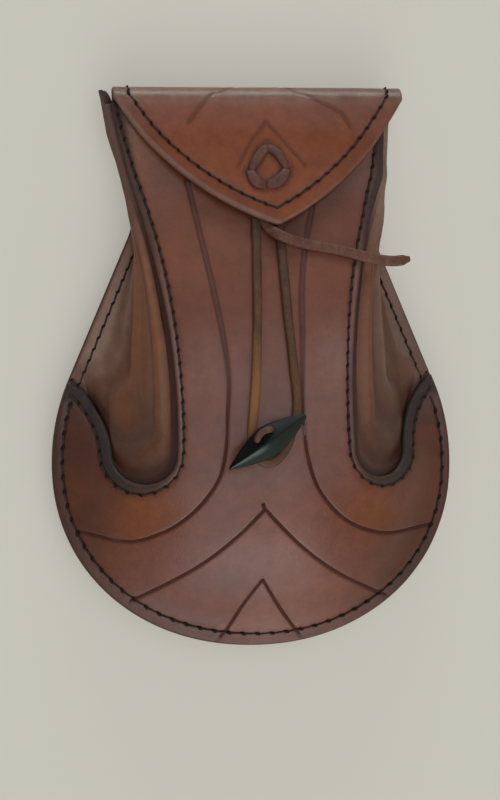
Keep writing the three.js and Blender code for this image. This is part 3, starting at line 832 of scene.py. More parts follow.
def flat_mesh(outline, lines, seams):
    """Points and triangles in a flat outline: rows beside its edge, seams and lines, then an even grid."""
    loop = closed(outline)
    groups = [(beside(loop, inset), EDGE_GAP) for inset in EDGE_ROWS]
    groups += [(beside(seam.line, offset), ROW_GAP) for seam in seams for offset in SEAM_ROWS]
    groups += [(beside(line, offset), ROW_GAP) for line in lines for offset in GROOVE_ROWS]
    low, high = outline.min(axis=0), outline.max(axis=0)
    rows = np.arange(low[1], high[1], GRID_STEP * math.sqrt(3) / 2)
    columns = np.arange(low[0], high[0], GRID_STEP)
    grid = [(x + (i % 2) * GRID_STEP / 2, y) for i, y in enumerate(rows) for x in columns]
    groups.append((np.array(grid), GRID_GAP))
    cleared = []
    for points, gap in groups:
        points = points[inside(points, outline)]
        cleared.append((points[distance_to(points, loop) > EDGE_CLEAR], gap))
    points = spread_out([(outline, 0)] + cleared, GRID_STEP)
    ring = [list(range(len(outline)))]
    flat, _, faces, _, _, _ = delaunay_2d_cdt([Vector(p) for p in points], [], ring, 1, 1e-6)
    return np.array([tuple(p) for p in flat]), [tuple(face) for face in faces]


def shell(outer, inner, faces):
    """Closed wall between two layers that share their faces, which run anticlockwise from outside."""
    count = len(outer)
    edges = dict.fromkeys(pair for face in faces for pair in zip(face, face[1:] + face[:1]))
    border = [(a, b) for a, b in edges if (b, a) not in edges]
    wall = [(b, a, a + count, b + count) for a, b in border]
    under = [tuple(k + count for k in reversed(face)) for face in faces]
    return np.vstack([outer, inner]), list(faces) + under + wall


def sheet_values(edge, shade, **outer):
    """Values of a sheet's points: edges on both faces, the others on the outer one; the inside is dark."""
    none = np.zeros(len(edge))
    values = {key: np.concatenate([value, none]) for key, value in outer.items()}
    values["edge"] = np.concatenate([edge, edge])
    values["shade"] = np.concatenate([shade, none + INSIDE_SHADE])
    return values


def edge_drop(distance, radius):
    """How far a rounded edge falls away at a distance inside it."""
    reach = np.clip(radius - distance, 0, radius)
    return radius - np.sqrt(radius ** 2 - reach ** 2)


def counter_clockwise(flat, faces):
    """Triangles turned to run anticlockwise in their plane."""
    turned = []
    for a, b, c in faces:
        area = np.cross(flat[b] - flat[a], flat[c] - flat[a])
        if abs(area) > 1e-9:
            turned.append((a, b, c) if area > 0 else (a, c, b))
    return turned


def add_stitches(name, place, seams, lift, thread):
    """Thread of several seams: from each hole to the next, sunk at both ends, with a bead at each hole."""
    share = np.linspace(0, 1, THREAD_STEPS)
    arch = np.sin(math.pi * share)
    slant = THREAD_SLANT * (2 * share - 1)
    height = lift + THREAD_DIP * (arch ** THREAD_ARCH - 1)
    taper = lerp(THREAD_NARROW, 1, arch)
    parts = []
    beads = []
    for seam in seams:
        points, normals = place(seam.holes)
        for a, b, up in zip(points[:-1], points[1:], normals[:-1]):
            side = unit(np.cross(up, b - a))
            line = a + np.outer(share, b - a) + np.outer(height, up) + np.outer(slant, side)
            run = ribbon(line, up, seam.stitch["thread"], THREAD_SIDES, 2, taper)
            end = bead(a + up * (lift - BEAD_SINK), unit(b - a), up, seam.stitch["bead"])
            parts += [run, end]
            beads += [np.zeros(len(run[0])), np.ones(len(end[0]))]
    points, faces = joined(parts)
    add_piece(name, make_mesh(name, points, faces, bead=np.concatenate(beads)), thread)


def bead(centre, way, up, half):
    """Thread where it dips into a hole: a small bead that slants across the seam."""
    length, width, height = half
    slanted = math.cos(BEAD_SLANT) * way + math.sin(BEAD_SLANT) * np.cross(up, way)
    turn = np.linspace(-0.98, 0.98, BEAD_STEPS)
    line = centre + np.outer(length * turn, slanted)
    return ribbon(line, up, (width, height), THREAD_SIDES, 2, np.sqrt(1 - turn ** 2))


def ribbon(line, up, half, sides=14, power=2.6, taper=None):
    """Lace along a line: a rounded flat section with shut ends; up is one way, or one for each point."""
    ahead = unit(np.gradient(line, axis=0))
    side = unit(np.cross(ahead, up))
    over = np.cross(side, ahead)
    turn = np.linspace(0, 2 * math.pi, sides, endpoint=False)
    across = np.sign(np.cos(turn)) * np.abs(np.cos(turn)) ** (2 / power)
    above = np.sign(np.sin(turn)) * np.abs(np.sin(turn)) ** (2 / power)
    width = half[0] * (np.ones(len(line)) if taper is None else taper)
    rings = line[:, None] + (width[:, None] * across)[..., None] * side[:, None]
    rings = rings + half[1] * above[None, :, None] * over[:, None]
    return rings.reshape(-1, 3), tube_faces(len(line), sides)


# Materials

# Colours of painted shade, and of dark lines: the tooled lines' dye, and painted shade in holes, creases
# and valleys and round the lacing's bars
DEEP_SHADE = (30, 12, 6)
GROOVE_DYE_AND_SHADE = (50, 11, 6)


def linear(*rgb):
    """Linear colour from display values of 0 to 255."""
    shares = [c / 255 for c in rgb]
    values = [c / 12.92 if c <= 0.04045 else ((c + 0.055) / 1.055) ** 2.4 for c in shares]
    return (*values, 1.0)


class Nodes:
    """A tree of nodes, made one at a time with their inputs."""

    def __init__(self, tree):
        self.tree = tree

    def node(self, kind, inputs=None, **settings):
        made = self.tree.nodes.new(kind)
        for key, value in settings.items():
            setattr(made, key, value)
        for key, value in (inputs or {}).items():
            self.put(made.inputs[key], value)
        return made

    def put(self, socket, value):
        if isinstance(value, bpy.types.NodeSocket):
            self.tree.links.new(value, socket)
        else:
            socket.default_value = value

    def span(self, value, low, high, to_low=0.0, to_high=1.0, ease="LINEAR"):
        inputs = {"Value": value, "From Min": low, "From Max": high, "To Min": to_low, "To Max": to_high}
        return self.node("ShaderNodeMapRange", inputs, interpolation_type=ease).outputs["Result"]

    def math(self, operation, a, b):
        return self.node("ShaderNodeMath", {0: a, 1: b}, operation=operation).outputs[0]

    def mix(self, share, a, b, blend="MIX"):
        made = self.node("ShaderNodeMix", {0: share, 6: a, 7: b}, data_type="RGBA", blend_type=blend)
        return made.outputs[2]


class Shader(Nodes):
    """A material's nodes, with the textures and mixes that the materials share."""

    def __init__(self, name):
        self.material = bpy.data.materials.new(name)
        self.material.use_nodes = True
        super().__init__(self.material.node_tree)
        self.surface = self.tree.nodes["Principled BSDF"]
        self.place = self.node("ShaderNodeTexCoord").outputs["Object"]

    def set(self, **inputs):
        for key, value in inputs.items():
            self.put(self.surface.inputs[key.replace("_", " ")], value)

    def noise(self, scale, detail=4, roughness=0.55, place=None):
        inputs = {"Vector": place or self.place, "Scale": scale, "Detail": detail, "Roughness": roughness}
        return self.node("ShaderNodeTexNoise", inputs).outputs["Fac"]

    def cells(self, scale):
        inputs = {"Vector": self.place, "Scale": scale}
        return self.node("ShaderNodeTexVoronoi", inputs).outputs["Distance"]

    def stretched(self, scale, turn=(0, 0, 0)):
        inputs = {"Vector": self.place, "Scale": scale, "Rotation": turn}
        return self.node("ShaderNodeMapping", inputs).outputs["Vector"]

    def value(self, name):
        return self.node("ShaderNodeAttribute", attribute_name=name).outputs["Fac"]

    def broken(self, name, texture, low, high, least):
        """A value of the mesh's points, broken up by a texture."""
        return self.math("MULTIPLY", self.value(name), self.span(texture, low, high, least, 1))

    def dimmed(self, colour, share):
        """A colour made darker or lighter by a texture."""
        grey = self.node("ShaderNodeCombineColor", {0: share, 1: share, 2: share}).outputs[0]
        return self.mix(1.0, colour, grey, "MULTIPLY")

    def bump(self, height, distance, strength, below=None):
        inputs = {"Height": height, "Distance": distance, "Strength": strength}
        if below is not None:
            inputs["Normal"] = below
        return self.node("ShaderNodeBump", inputs).outputs["Normal"]


def leather(name, colours, roughness, gloss, grain=1.0):
    """Vegetable-tanned leather: uneven dye, warm places, pale places of wear, painted sheen and highlight,
    painted shade, dark lines and edges, fine grain.
    """
    s = Shader(name)
    shades = {key: linear(*rgb) for key, rgb in colours.items()}
    clouds = s.span(s.noise(16, 5, 0.6), 0.36, 0.66)
    streaks = s.noise(1, 5, 0.6, s.stretched((160, 34, 60)))
    colour = s.mix(clouds, shades["dark"], shades["light"])
    colour = s.mix(s.broken("warm", streaks, 0.2, 0.7, 0.6), colour, shades["warm"])
    # Pale places: wear, and painted sheen and highlights
    colour = s.mix(s.broken("pale", streaks, 0.25, 0.65, 0.5), colour, shades["pale"])
    colour = s.dimmed(colour, s.span(s.noise(190, 6, 0.7), 0.3, 0.7, 0.8, 1.15))
    # Painted shade
    colour = s.mix(s.value("shade"), colour, linear(*DEEP_SHADE))
    colour = s.mix(s.broken("edge", s.noise(330, 5, 0.7), 0.35, 0.65, 0.74), colour, shades["edge"])
    # Dark lines: tooled and seam dye, and painted shade in holes, creases and valleys
    colour = s.mix(s.value("groove"), colour, linear(*GROOVE_DYE_AND_SHADE))
    s.set(Base_Color=colour)
    rough = s.span(s.noise(240, 5, 0.65), 0.25, 0.75, roughness - 0.07, roughness + 0.09)
    s.set(Roughness=s.math("ADD", rough, s.math("MULTIPLY", s.value("edge"), 0.45)))
    s.set(Specular_IOR_Level=gloss, Coat_Weight=0.15 * gloss, Coat_Roughness=0.3)
    pores = s.bump(s.cells(1500), 0.00012, 0.35 * grain)
    creases = s.bump(s.noise(420, 8, 0.7), 0.0003, 0.35 * grain, pores)
    s.set(Normal=creases)
    return s.material


def lace_leather(name, dark, light):
    """Lace cut from a hide: plain on its face, darker and hairy where it was cut."""
    s = Shader(name)
    along = s.noise(1, 6, 0.65, s.stretched((420, 90, 420)))
    colour = s.mix(s.span(along, 0.3, 0.7), dark, light)
    colour = s.mix(s.span(s.noise(700, 4), 0.35, 0.7, 0, 0.5), colour, linear(50, 30, 22))
    colour = s.mix(s.value("pale_share"), colour, linear(146, 97, 50))
    # Painted shade
    colour = s.mix(s.value("shade"), colour, linear(36, 24, 15))
    s.set(Base_Color=colour, Roughness=s.span(along, 0.3, 0.7, 0.5, 0.68))
    s.set(Normal=s.bump(s.noise(900, 6, 0.7), 0.0003, 0.5), Specular_IOR_Level=0.35)
    return s.material


def pressed_leather():
    """Leather at the bottom of a tooled line, pressed hard and dark; paler up the tongue."""
    s = Shader("pressed_leather")
    clouds = s.span(s.noise(120, 5, 0.65), 0.3, 0.7, 0.85, 1.12)
    colour = s.mix(s.value("pale"), linear(72, 38, 29), linear(92, 62, 55))
    s.set(Base_Color=s.dimmed(colour, clouds), Roughness=0.6, Specular_IOR_Level=0.06)
    return s.material


def thread_wax():
    """Waxed thread with a twist, with painted shade on the beads where it goes into the leather."""
    s = Shader("waxed_thread")
    twist = s.noise(1600, 3)
    colour = s.mix(s.span(twist, 0.3, 0.7), linear(34, 26, 22), linear(60, 48, 40))
    # Painted shade on the beads at the holes
    s.set(Base_Color=s.mix(s.value("bead"), colour, linear(13, 10, 9)))
    s.set(Roughness=s.span(twist, 0.3, 0.7, 0.65, 0.8), Specular_IOR_Level=0.2)
    s.set(Normal=s.bump(twist, 0.0003, 0.6))
    return s.material


def dark_horn():
    """Dark polished horn: near black on one face, green on the other and lighter there as painted light, a
    painted highlight streak below the ridge.
    """
    s = Shader("dark_horn")
    along = s.stretched((60, 420, 420), (0, 0, -TOGGLE_TURN))
    streaks = s.noise(1, 6, 0.6, along)
    colour = s.mix(s.span(streaks, 0.4, 0.72), linear(5, 5, 4), linear(15, 17, 14))
    colour = s.mix(s.value("green"), colour, linear(36, 41, 35))
    colour = s.mix(s.broken("pale", streaks, 0.25, 0.6, 0.5), colour, linear(88, 98, 92))
    s.set(Base_Color=colour, Roughness=s.span(streaks, 0.3, 0.7, 0.4, 0.55))
    s.set(Normal=s.bump(streaks, 0.0002, 0.3), Specular_IOR_Level=0.1)
    return s.material


def floor_paper():
    """Pale paper, bright of itself, so that the shadow on it stays faint."""
    s = Shader("floor_paper")
    s.set(Base_Color=linear(152, 148, 138), Roughness=0.9, Specular_IOR_Level=0.0)
    s.set(Emission_Color=linear(198, 195, 186), Emission_Strength=0.555)
    return s.material


# Camera

CAMERA_TURN = math.radians(8)
CAMERA_DISTANCE = 2400
PIXEL = 0.4
IMAGE_HEIGHT = 800
LOOK_AT = (-0.606, -13.4, 10)


def add_camera():
    """Camera at the front and a little to the left, with the whole bag in its view."""
    back = Vector((-math.sin(CAMERA_TURN), 0, math.cos(CAMERA_TURN)))
    up = Vector((0, 1, 0))
    right = up.cross(back)
    place = (Vector(LOOK_AT) + back * CAMERA_DISTANCE) * MM
    data = bpy.data.cameras.new("camera")
    data.lens = data.sensor_width * CAMERA_DISTANCE / (IMAGE_HEIGHT * PIXEL)
    camera = put_in_scene("camera", data)
    axes = Matrix((right, up, back)).transposed().to_4x4()
    camera.matrix_world = Matrix.Translation(place) @ axes
    bpy.context.scene.camera = camera


# Laces

# Where the loop's looks start and end on the front
STRAND = {"right_x": (2, 6), "pale_share": (-20, 14), "at_toggle": (24, 32), "shaded": (10, 50)}
STRAND_PALE = (0.6, 0.2)
STRAND_SHADE = 0.3
TOGGLE_SHADE = 0.8


def lace_line(route):
    """A lace's middle line: its route on the front, held to the tongue's edge past the tongue."""
    x, y, lift = np.array(route, float).T
    on_tongue = np.clip(x, -tongue_half(y, -1), tongue_half(y, 1))
    return curve(np.column_stack([x, y, front_top(on_tongue, y) + lift - LACE_SINK]), LACE_STEP)


def strand_colours(points):
    """Paler leather low on the left strand, painted shade high on both and down the right one."""
    x, y = points[:, 0], points[:, 1]
    right = smoothstep(x, *STRAND["right_x"])
    low = smoothstep(-y, *STRAND["pale_share"]) * (1 - TOGGLE_SHADE * smoothstep(-y, *STRAND["at_toggle"]))
    shade = STRAND_SHADE * np.maximum(smoothstep(y, *STRAND["shaded"]), right)
    return {"pale_share": lerp(*STRAND_PALE, right) * low, "shade": shade}


def add_lace(name, route, material, tail):
    """A slightly uneven lace along a route; a tail is wider, and narrow at its free end."""
    line = lace_line(route)
    run = travelled(line)
    taper = 1 + (TAIL_WANDER if tail else LOOP_WANDER) * lumps(line, *WANDER_NOISE)
    if tail:
        taper = taper * TAIL_WIDTH * lerp(TAIL_TIP, 1, smoothstep(run[-1] - run, 0, TAIL_TIP_RUN))
    twist = LACE_TWIST * lumps(line, *TWIST_NOISE)
    up = unit(np.column_stack([twist, np.zeros(len(line)), np.ones(len(line))]))
    points, faces = ribbon(line, up, LACE_HALF, taper=taper)
    values = {} if tail else strand_colours(points)
    mesh = make_mesh(name + "_lace", points, faces, **values)
    piece = add_piece(name + "_lace", mesh, material, "thong_" + name)


# Pieces

# Places on the front: x, y, reach, strength
WARM_PLACES = (
    (-50, -58, 12, 1.0), (-72, -50, 9, 0.7), (-58, -78, 13, 0.5), (50, -58, 13, 0.9), (66, -50, 12, 0.7),
    (-46, -10, 14, 0.3), (58, -76, 14, 0.3), (-34, 52, 22, 0.5), (-48, 88, 14, 0.9), (30, 54, 16, 0.4),
    (42, 80, 14, 0.5),
)
# Painted sheen on the belly and the tongue
SHEEN_PLACES = (
    (-20, -50, 13, 0.28), (5, -98, 12, 0.2), (32, 6, 15, 0.34), (6, -48, 12, 0.18), (4, 14, 10, 0.14),
    (-18, 5, 12, 0.18),
)
SHADED_PLACES = ((52, -78, 20, 0.24),)
# Where the front's looks start and end: distances from an edge, a line or a tip, and places across and up
FRONT = {
    "edge_dye": (0.15, 0.65), "rim_dye": (3, 5), "groove_floor": (0.1, 0.9), "highlight_y": (-45, -20),
    "flank_x": (32, 72), "flank_drop": (0, 20), "neck_y": (28, 60), "limb_dye_y": (-10, 30),
    "tip_drop": (4, 10), "horn_x": (2, 8), "limb": (-1, -0.3),
}
RIM_DYE = 0.3
TOOLED_DYE = 0.92
SEAM_DYE = 0.35
# Painted shade in the stitch holes
HOLE_SHADE = 0.9
HORN_DYE = 0.9
HORN_ROOT_DYE = 0.95
TIP_FADE_DYE = 0.4
DYE_PAST_SEAM = (-0.9, 0.3)
FLANK_SHADE = 0.48
FLAP_SHADE_REACH = 12
# Painted highlight on the crown of the margin up the tongue's edge: strength, then place and half width
# from the cut
LIMB_HIGHLIGHT = 0.5
LIMB_HIGHLIGHT_PLACE = (1.3, 0.8)

# Looks of the flap: strengths, widths and places
FLAP_EDGE_DYE = (0.05, 0.3)
FLAP_TOOLED_DYE = 0.4
# Painted shade in the lacing's holes, and a painted contact shadow round its bars
LACING_HOLE_SHADE = 0.95
BAR_SHADE = 0.6
BAR_SHADE_HALF = 0.7
# Painted highlight on the flap's rounded edge: its width on the left and right, softness and strength
FLAP_BEVEL = (1.9, 0.7)
BEVEL_SOFT = 0.3
BEVEL_HIGHLIGHT = 0.55
# Wear and painted highlight across the fold
FOLD_WEAR_AND_HIGHLIGHT = 0.85
MARGIN_SHADE = 0.2
RIGHT_SHADE = 0.18
RIGHT_SHADE_X = (8, 40)


class Sheet:
    """Flat mesh of thick leather, with its points' distances from edge, tooled lines, seams and holes."""

    def __init__(self, outline, lines, seams, surface):
        flat, faces = flat_mesh(outline, lines, seams)
        self.flat = flat
        self.faces = counter_clockwise(flat, faces)
        self.points, self.normal = surface(flat)
        self.to_edge = distance_to(flat, closed(outline))
        self.to_line = nearest(flat, lines)
        self.to_seam = nearest(flat, [seam.line for seam in seams])
        self.to_hole = nearest_hole(flat, np.vstack([seam.holes for seam in seams]))

    def dark_lines(self, *others):
        """Dye in the seams' channels, painted shade in their holes, and other dark lines."""
        seam = SEAM_DYE * bell(self.to_seam, CHANNEL_HALF)
        return strongest(*others, seam, HOLE_SHADE * bell(self.to_hole, HOLE_DENT_HALF))

    def build(self, name, node, material, relief, channel, lumpy, looks):
        """Put the sheet in the scene: its outer face has relief, sunk seams, lumps and round edges."""
        drop = edge_drop(self.to_edge, EDGE_ROUND)
        sewn = channel * bell(self.to_seam, CHANNEL_HALF) + HOLE_DENT * bell(self.to_hole, HOLE_DENT_HALF)
        height = relief - drop - sewn + uneven(self.points, lumpy)
        outer = self.points + self.normal * height[:, None]
        inner = self.points - self.normal * (LEATHER - drop)[:, None]
        points, faces = shell(outer, inner, self.faces)
        add_piece(name, make_mesh(name, points, faces, **sheet_values(**looks)), material, node)


def spots(flat, places):
    """Soft spots at places on the front."""
    found = np.zeros(len(flat))
    for x, y, reach, strength in places:
        found = np.maximum(found, strength * bell(np.hypot(flat[:, 0] - x, flat[:, 1] - y), reach))
    return found


def on_limb(flat):
    """How far a place is up the tongue's side, not round the cut-out or on the horn."""
    past = np.abs(flat[:, 0]) - cutout_x(flat[:, 0])
    return fall(past / by_side(flat[:, 0], "cutout_radius"), *FRONT["limb"])


def burnish(flat, to_cut):
    """Dark dye beside the cut-outs: light up the tongue, strong round the cut-out, full on the tips."""
    x, y = flat[:, 0], flat[:, 1]
    past = np.abs(x) - cutout_x(x)
    radius = by_side(x, "cutout_radius")
    beside_limb = by_side(x, "limb_dye") * fall(y, *FRONT["limb_dye_y"])
    round_bowl = lerp(by_side(x, "bowl_dye"), HORN_ROOT_DYE, smoothstep(past, 0, radius))
    along = lerp(round_bowl, beside_limb, on_limb(flat))
    inset = lerp(CUTOUT_INSET, HORN_INSET, smoothstep(past, -radius, BOWL_SPAN * radius))
    margin = along * fall(to_cut - inset, *DYE_PAST_SEAM)
    below_tip = by_side(x, "tip_y") - y
    faint = TIP_FADE_DYE * fall(below_tip, by_side(x, "tip_fade"), by_side(x, "tip_clear"))
    tip = HORN_DYE * fall(below_tip, *FRONT["tip_drop"]) + faint
    return np.maximum(margin, np.minimum(tip, HORN_DYE) * smoothstep(past, *FRONT["horn_x"]))


def flap_shadow(side):
    """Line on the front under the flap's edge."""
    y = np.linspace(FLAP_TIP[1], FLAP_CORNER_Y, SHADOW_POINTS)
    return np.column_stack([flap_edge(side, y), y])


def front_looks(sheet, cuts, rim, tooled, up_tongue):
    """Values of the front's points: dyed edges and lines, painted shade in the stitch holes, warm places,
    painted sheen and highlight, and painted shade.
    """
    flat = sheet.flat
    x, y = flat[:, 0], flat[:, 1]
    to_cut = nearest(flat, cuts)
    rim_dye = RIM_DYE * fall(distance_to(flat, rim), *FRONT["rim_dye"])
    floor = lerp(1, lerp(*GROOVE_FLOOR, up_tongue), fall(sheet.to_line, *FRONT["groove_floor"]))
    place, half = LIMB_HIGHLIGHT_PLACE
    limb = LIMB_HIGHLIGHT * on_limb(flat) * bell(to_cut - place, half) * smoothstep(y, *FRONT["highlight_y"])
    flanks = FLANK_SHADE * smoothstep(np.abs(x), *FRONT["flank_x"]) * smoothstep(-y, *FRONT["flank_drop"])
    neck = by_side(x, "neck_shade") * smoothstep(y, *FRONT["neck_y"])
    to_flap = nearest(flat, [flap_shadow(-1), flap_shadow(1)])
    under_flap = by_side(x, "flap_shade") * bell(to_flap, FLAP_SHADE_REACH)
    return {
        "edge": strongest(fall(sheet.to_edge, *FRONT["edge_dye"]), burnish(flat, to_cut), rim_dye),
        "groove": sheet.dark_lines(TOOLED_DYE * tooled * floor),
        "warm": spots(flat, WARM_PLACES),
        "pale": np.maximum(limb, spots(flat, SHEEN_PLACES)),
        "shade": strongest(flanks, neck, under_flap) + spots(flat, SHADED_PLACES),
    }


def front_panel(material, thread):
    """The moulded front, with its tooled lines, seams and dark cut edges."""
    right = spaced(CUT_LINES[1], EDGE_STEP)
    left = mirrored(spaced(CUT_LINES[-1], EDGE_STEP))
    rim = spaced(FRONT_RIM, EDGE_STEP)
    outline = np.vstack([rim, right[::-1][1:], left[:-1]])
    lines = [curve(points, ROW_STEP) for points in FRONT_LINES]
    seams = front_seams()
    sheet = Sheet(outline, lines, seams, front_surface)
    up_tongue = smoothstep(sheet.flat[:, 1], *GROOVE_Y)
    tooled = trough(sheet.to_line, lerp(*GROOVE_HALF, up_tongue), GROOVE_SOFT)
    swell = np.sin(math.pi * np.clip(sheet.to_edge / CROWN_WIDTH, 0, 1))
    relief = MARGIN_CROWN * on_limb(sheet.flat) * swell - GROOVE_DEPTH * tooled
    looks = front_looks(sheet, [right, left], rim, tooled, up_tongue)
    sheet.build("moulded_front", "front_panel", material, relief, CHANNEL_DEPTH, FRONT_LUMPS, looks)
    add_stitches("front_stitches", front_surface, seams, SHEET_LIFT, thread)
    tooled_floors(lines, outline)


def tooled_floors(lines, outline):
    """Floors of the front's tooled lines, as far as the rim's rounded edge."""
    parts = []
    for line in lines:
        line = line[distance_to(line, closed(outline)) > FLOOR_TO_RIM]
        points, normal = front_surface(line)
        parts.append(ribbon(points - normal * FLOOR_SINK, normal, FLOOR_HALF, sides=10, power=3))
    points, faces = joined(parts)
    mesh = make_mesh("tooled_floors", points, faces, pale=smoothstep(points[:, 1], *GROOVE_Y))
    add_piece("tooled_floors", mesh, pressed_leather())


def arch_line():
    """The tooled arch that runs up the flap, over the fold and down again, in the sheet."""
    left_foot, right_foot = on_sheet(ARCH_FEET)
    left_side, right_side = on_sheet(ARCH_SIDES)
    shoulders = [(x, FLAP_START - back) for x, back in ARCH_SHOULDERS]
    left = [left_foot, left_side, shoulders[0]]
    right = [shoulders[1], right_side, right_foot]
    return curve([*left, ARCH_TOP, *right], ROW_STEP)


def flap_looks(sheet, tooled, to_lacing):
    """Values of the back and flap's points: dyed lines, painted shade in holes and round the lacing,
    painted highlight on the edges, wear and painted highlight on the fold, painted shade on the right and
    the left margin.
    """
    x, s = sheet.flat[:, 0], sheet.flat[:, 1]
    on_left = x < FLAP_TIP[0]
    to_bar = np.min([np.abs(distance_to(sheet.flat, line) - half) for line, half in lacing_lines()], axis=0)
    lacing_shade = LACING_HOLE_SHADE * bell(to_lacing, LACING_DENT_HALF)
    bar_shade = BAR_SHADE * bell(to_bar, BAR_SHADE_HALF)
    bevel = np.where(on_left, *FLAP_BEVEL)
    lit_bevel = BEVEL_HIGHLIGHT * fall(sheet.to_edge, bevel - BEVEL_SOFT, bevel + BEVEL_SOFT)
    left_margin = MARGIN_SHADE * on_left * fall(sheet.to_edge, FLAP_INSET - 1, FLAP_INSET)
    return {
        "edge": fall(sheet.to_edge, *FLAP_EDGE_DYE),
        "groove": sheet.dark_lines(FLAP_TOOLED_DYE * tooled, lacing_shade, bar_shade),
        "pale": np.maximum(lit_bevel, FOLD_WEAR_AND_HIGHLIGHT * bell(s - WORN_LIT_FOLD, WORN_LIT_FOLD_HALF)),
        "shade": np.maximum(RIGHT_SHADE * smoothstep(x, *RIGHT_SHADE_X), left_margin),
    }


def back_and_flap(material, thread):
    """Back, fold and flap as one sheet, with the flap's seam and tooled lines."""
    right = spaced(flap_line(1), EDGE_STEP)
    left = spaced(flap_line(-1), EDGE_STEP)
    rim = spaced(whole_rim(FOLD_Y, FOLD_Y), EDGE_STEP)
    outline = np.vstack([rim, right[1:], left[::-1][:-1]])
    lines = [arch_line()] + [curve(on_sheet(points), ROW_STEP) for points in FLAP_CHEVRON]
    seams = sheet_seams()
    sheet = Sheet(outline, lines, seams, sheet_surface)
    sheet.faces = flipped(sheet.faces)
    to_lacing = nearest_hole(sheet.flat, on_sheet(LACING_HOLES))
    depth, half, soft = FINE_GROOVE
    tooled = trough(sheet.to_line, half, soft)
    relief = -depth * tooled - LACING_DENT * bell(to_lacing, LACING_DENT_HALF)
    looks = flap_looks(sheet, tooled, to_lacing)
    sheet.build("back_and_flap_sheet", "back_and_flap", material, relief, FINE_CHANNEL, SHEET_LUMPS, looks)
    add_stitches("flap_stitches", sheet_surface, seams, SHEET_LIFT, thread)


# Gussets

def gusset_row(u, column):
    """A column of the gussets' table at stations u."""
    return through(GUSSET_ROWS, u, GUSSET_COLUMNS.index(column))[:, None]


def gusset_edges(side, u):
    """Back edge, back bend, front bend and front edge of a wall at stations u, and its way out."""
    y = lerp(GUSSET_TOP, SIDES[side]["tip_y"] + GUSSET_PAST_TIP, u ** GUSSET_LEAD)
    lean = (rim_half(y + LEAN_STEP) - rim_half(y - LEAN_STEP)) / (2 * LEAN_STEP)
    none = np.zeros(len(u))
    outward = unit(np.column_stack([none + 1, -lean, none]))
    seat = BOW_HEIGHT + LEATHER + GAP + SOFT_LEATHER / 2
    back_edge = np.column_stack([rim_half(y), y, none + seat]) - outward * GUSSET_EDGE
    line = CUT_LINES[side]
    seam_at = points_at(line, travelled(line) / travelled(line)[-1], u)
    aside = left_of(seam_at)

    def under(inset):
        flat = seam_at - aside * inset
        points, normal = front_surface(flat * np.array([side, 1]))
        drop = (LEATHER + SEAM_GAP + SOFT_LEATHER / 2) / normal[:, 2]
        return np.column_stack([flat, np.maximum(points[:, 2] - drop, seat)])

    flange = gusset_row(u, "front_flange")
    way = unit(outward + np.column_stack([aside, none]))
    way[:, 2] = gusset_row(u, "rise")[:, 0]
    back_bend = back_edge - outward * gusset_row(u, "back_flange")
    return back_edge, back_bend, under(np.minimum(flange, -SEAM_CLEAR)), under(flange), unit(way)


def gusset_middle(side):
    """Middle of a wall as a grid of points, as on the right: stations down the seams, back to front."""
    u = np.linspace(0, 1, GUSSET_ALONG)
    back_edge, back_bend, front_bend, front_edge, way = gusset_edges(side, u)
    bulge = gusset_row(u, "bulge_" + SIDES[side]["name"])
    folding = band(u, *FOLD_SPAN)[:, None]
    lip = SIDES[side]["lip"] * fall(u, 0, LIP_LENGTH)[:, None]
    back_count, body_count, front_count = GUSSET_ACROSS
    grid = [lerp(back_edge, back_bend, k / back_count) for k in range(back_count)]
    for k in range(body_count + 1):
        w = k / body_count
        arch = math.sin(math.pi * w)
        fold = float(through(GUSSET_FOLDS[side], w))
        point = lerp(back_bend, front_bend, w) + way * (arch * bulge + folding * fold)
        grid.append(point + lip * smoothstep(arch, 0, LIP_FULL) * np.array([0, 1, 0]))
    grid += [lerp(front_bend, front_edge, k / front_count) for k in range(1, front_count + 1)]
    return np.stack(grid, axis=1)


def eased(grid, passes):
    """Grid with its bends rounded across the wall; its first and last columns stay."""
    for _ in range(passes):
        middle = (grid[:, :-2] + 2 * grid[:, 1:-1] + grid[:, 2:]) / 4
        grid = np.concatenate([grid[:, :1], middle, grid[:, -1:]], axis=1)
    return grid


def gusset(side, material, thread):
    """Soft side wall between the back and the front, with folds that fan down from the neck."""
    name = SIDES[side]["name"]
    wall = name + "_wall"
    middle = eased(gusset_middle(side), GUSSET_EASING)
    rows, columns = middle.shape[:2]
    ahead = np.gradient(middle, axis=0)
    across = np.gradient(middle, axis=1)
    normal = -unit(np.cross(ahead, across))
    flat = middle.reshape(-1, 3)
    wrinkle = uneven(flat, WALL_LUMPS) * fold_window(rows, columns)
    rise = (SOFT_LEATHER / 2 + wrinkle)[:, None]
    outer = flat + normal.reshape(-1, 3) * rise
    inner = flat - normal.reshape(-1, 3) * SOFT_LEATHER / 2
    points, faces = shell(outer, inner, flipped(grid_faces(rows, columns)))
    points = points * np.array([side, 1, 1])
    if side < 0:
        faces = flipped(faces)
    values = {key: value.reshape(-1) for key, value in wall_colours(side, rows).items()}
    mesh = make_mesh(wall, points, faces, **sheet_values(**values))
    add_piece(wall, mesh, material, "gusset_" + name)
    add_stitches(name + "_shoulder_stitches", SHOULDER_FACE, [shoulder_seam(side)], FLAT_LIFT, thread)


def wall_across():
    """Place of each column of a wall: up to 0 on the back flange, to 1 on the body, to 2 on the front's."""
    back_count, body_count, front_count = GUSSET_ACROSS
    back = np.linspace(-1, 0, back_count, endpoint=False)
    body = np.linspace(0, 1, body_count + 1)
    return np.concatenate([back, body, np.linspace(1, 2, front_count + 1)[1:]])


# Warm ridges of each wall, and ridges with painted sheen on their tops: place from the back to the front,
# half width, strength
WARM_RIDGES = {-1: ((0.5, 0.2, 0.55), (0.88, 0.08, 0.6)), 1: ((0.84, 0.1, 0.4),)}
SHEEN_RIDGES = {-1: ((0.72, 0.05, 0.3),), 1: ((0.47, 0.1, 0.5),)}
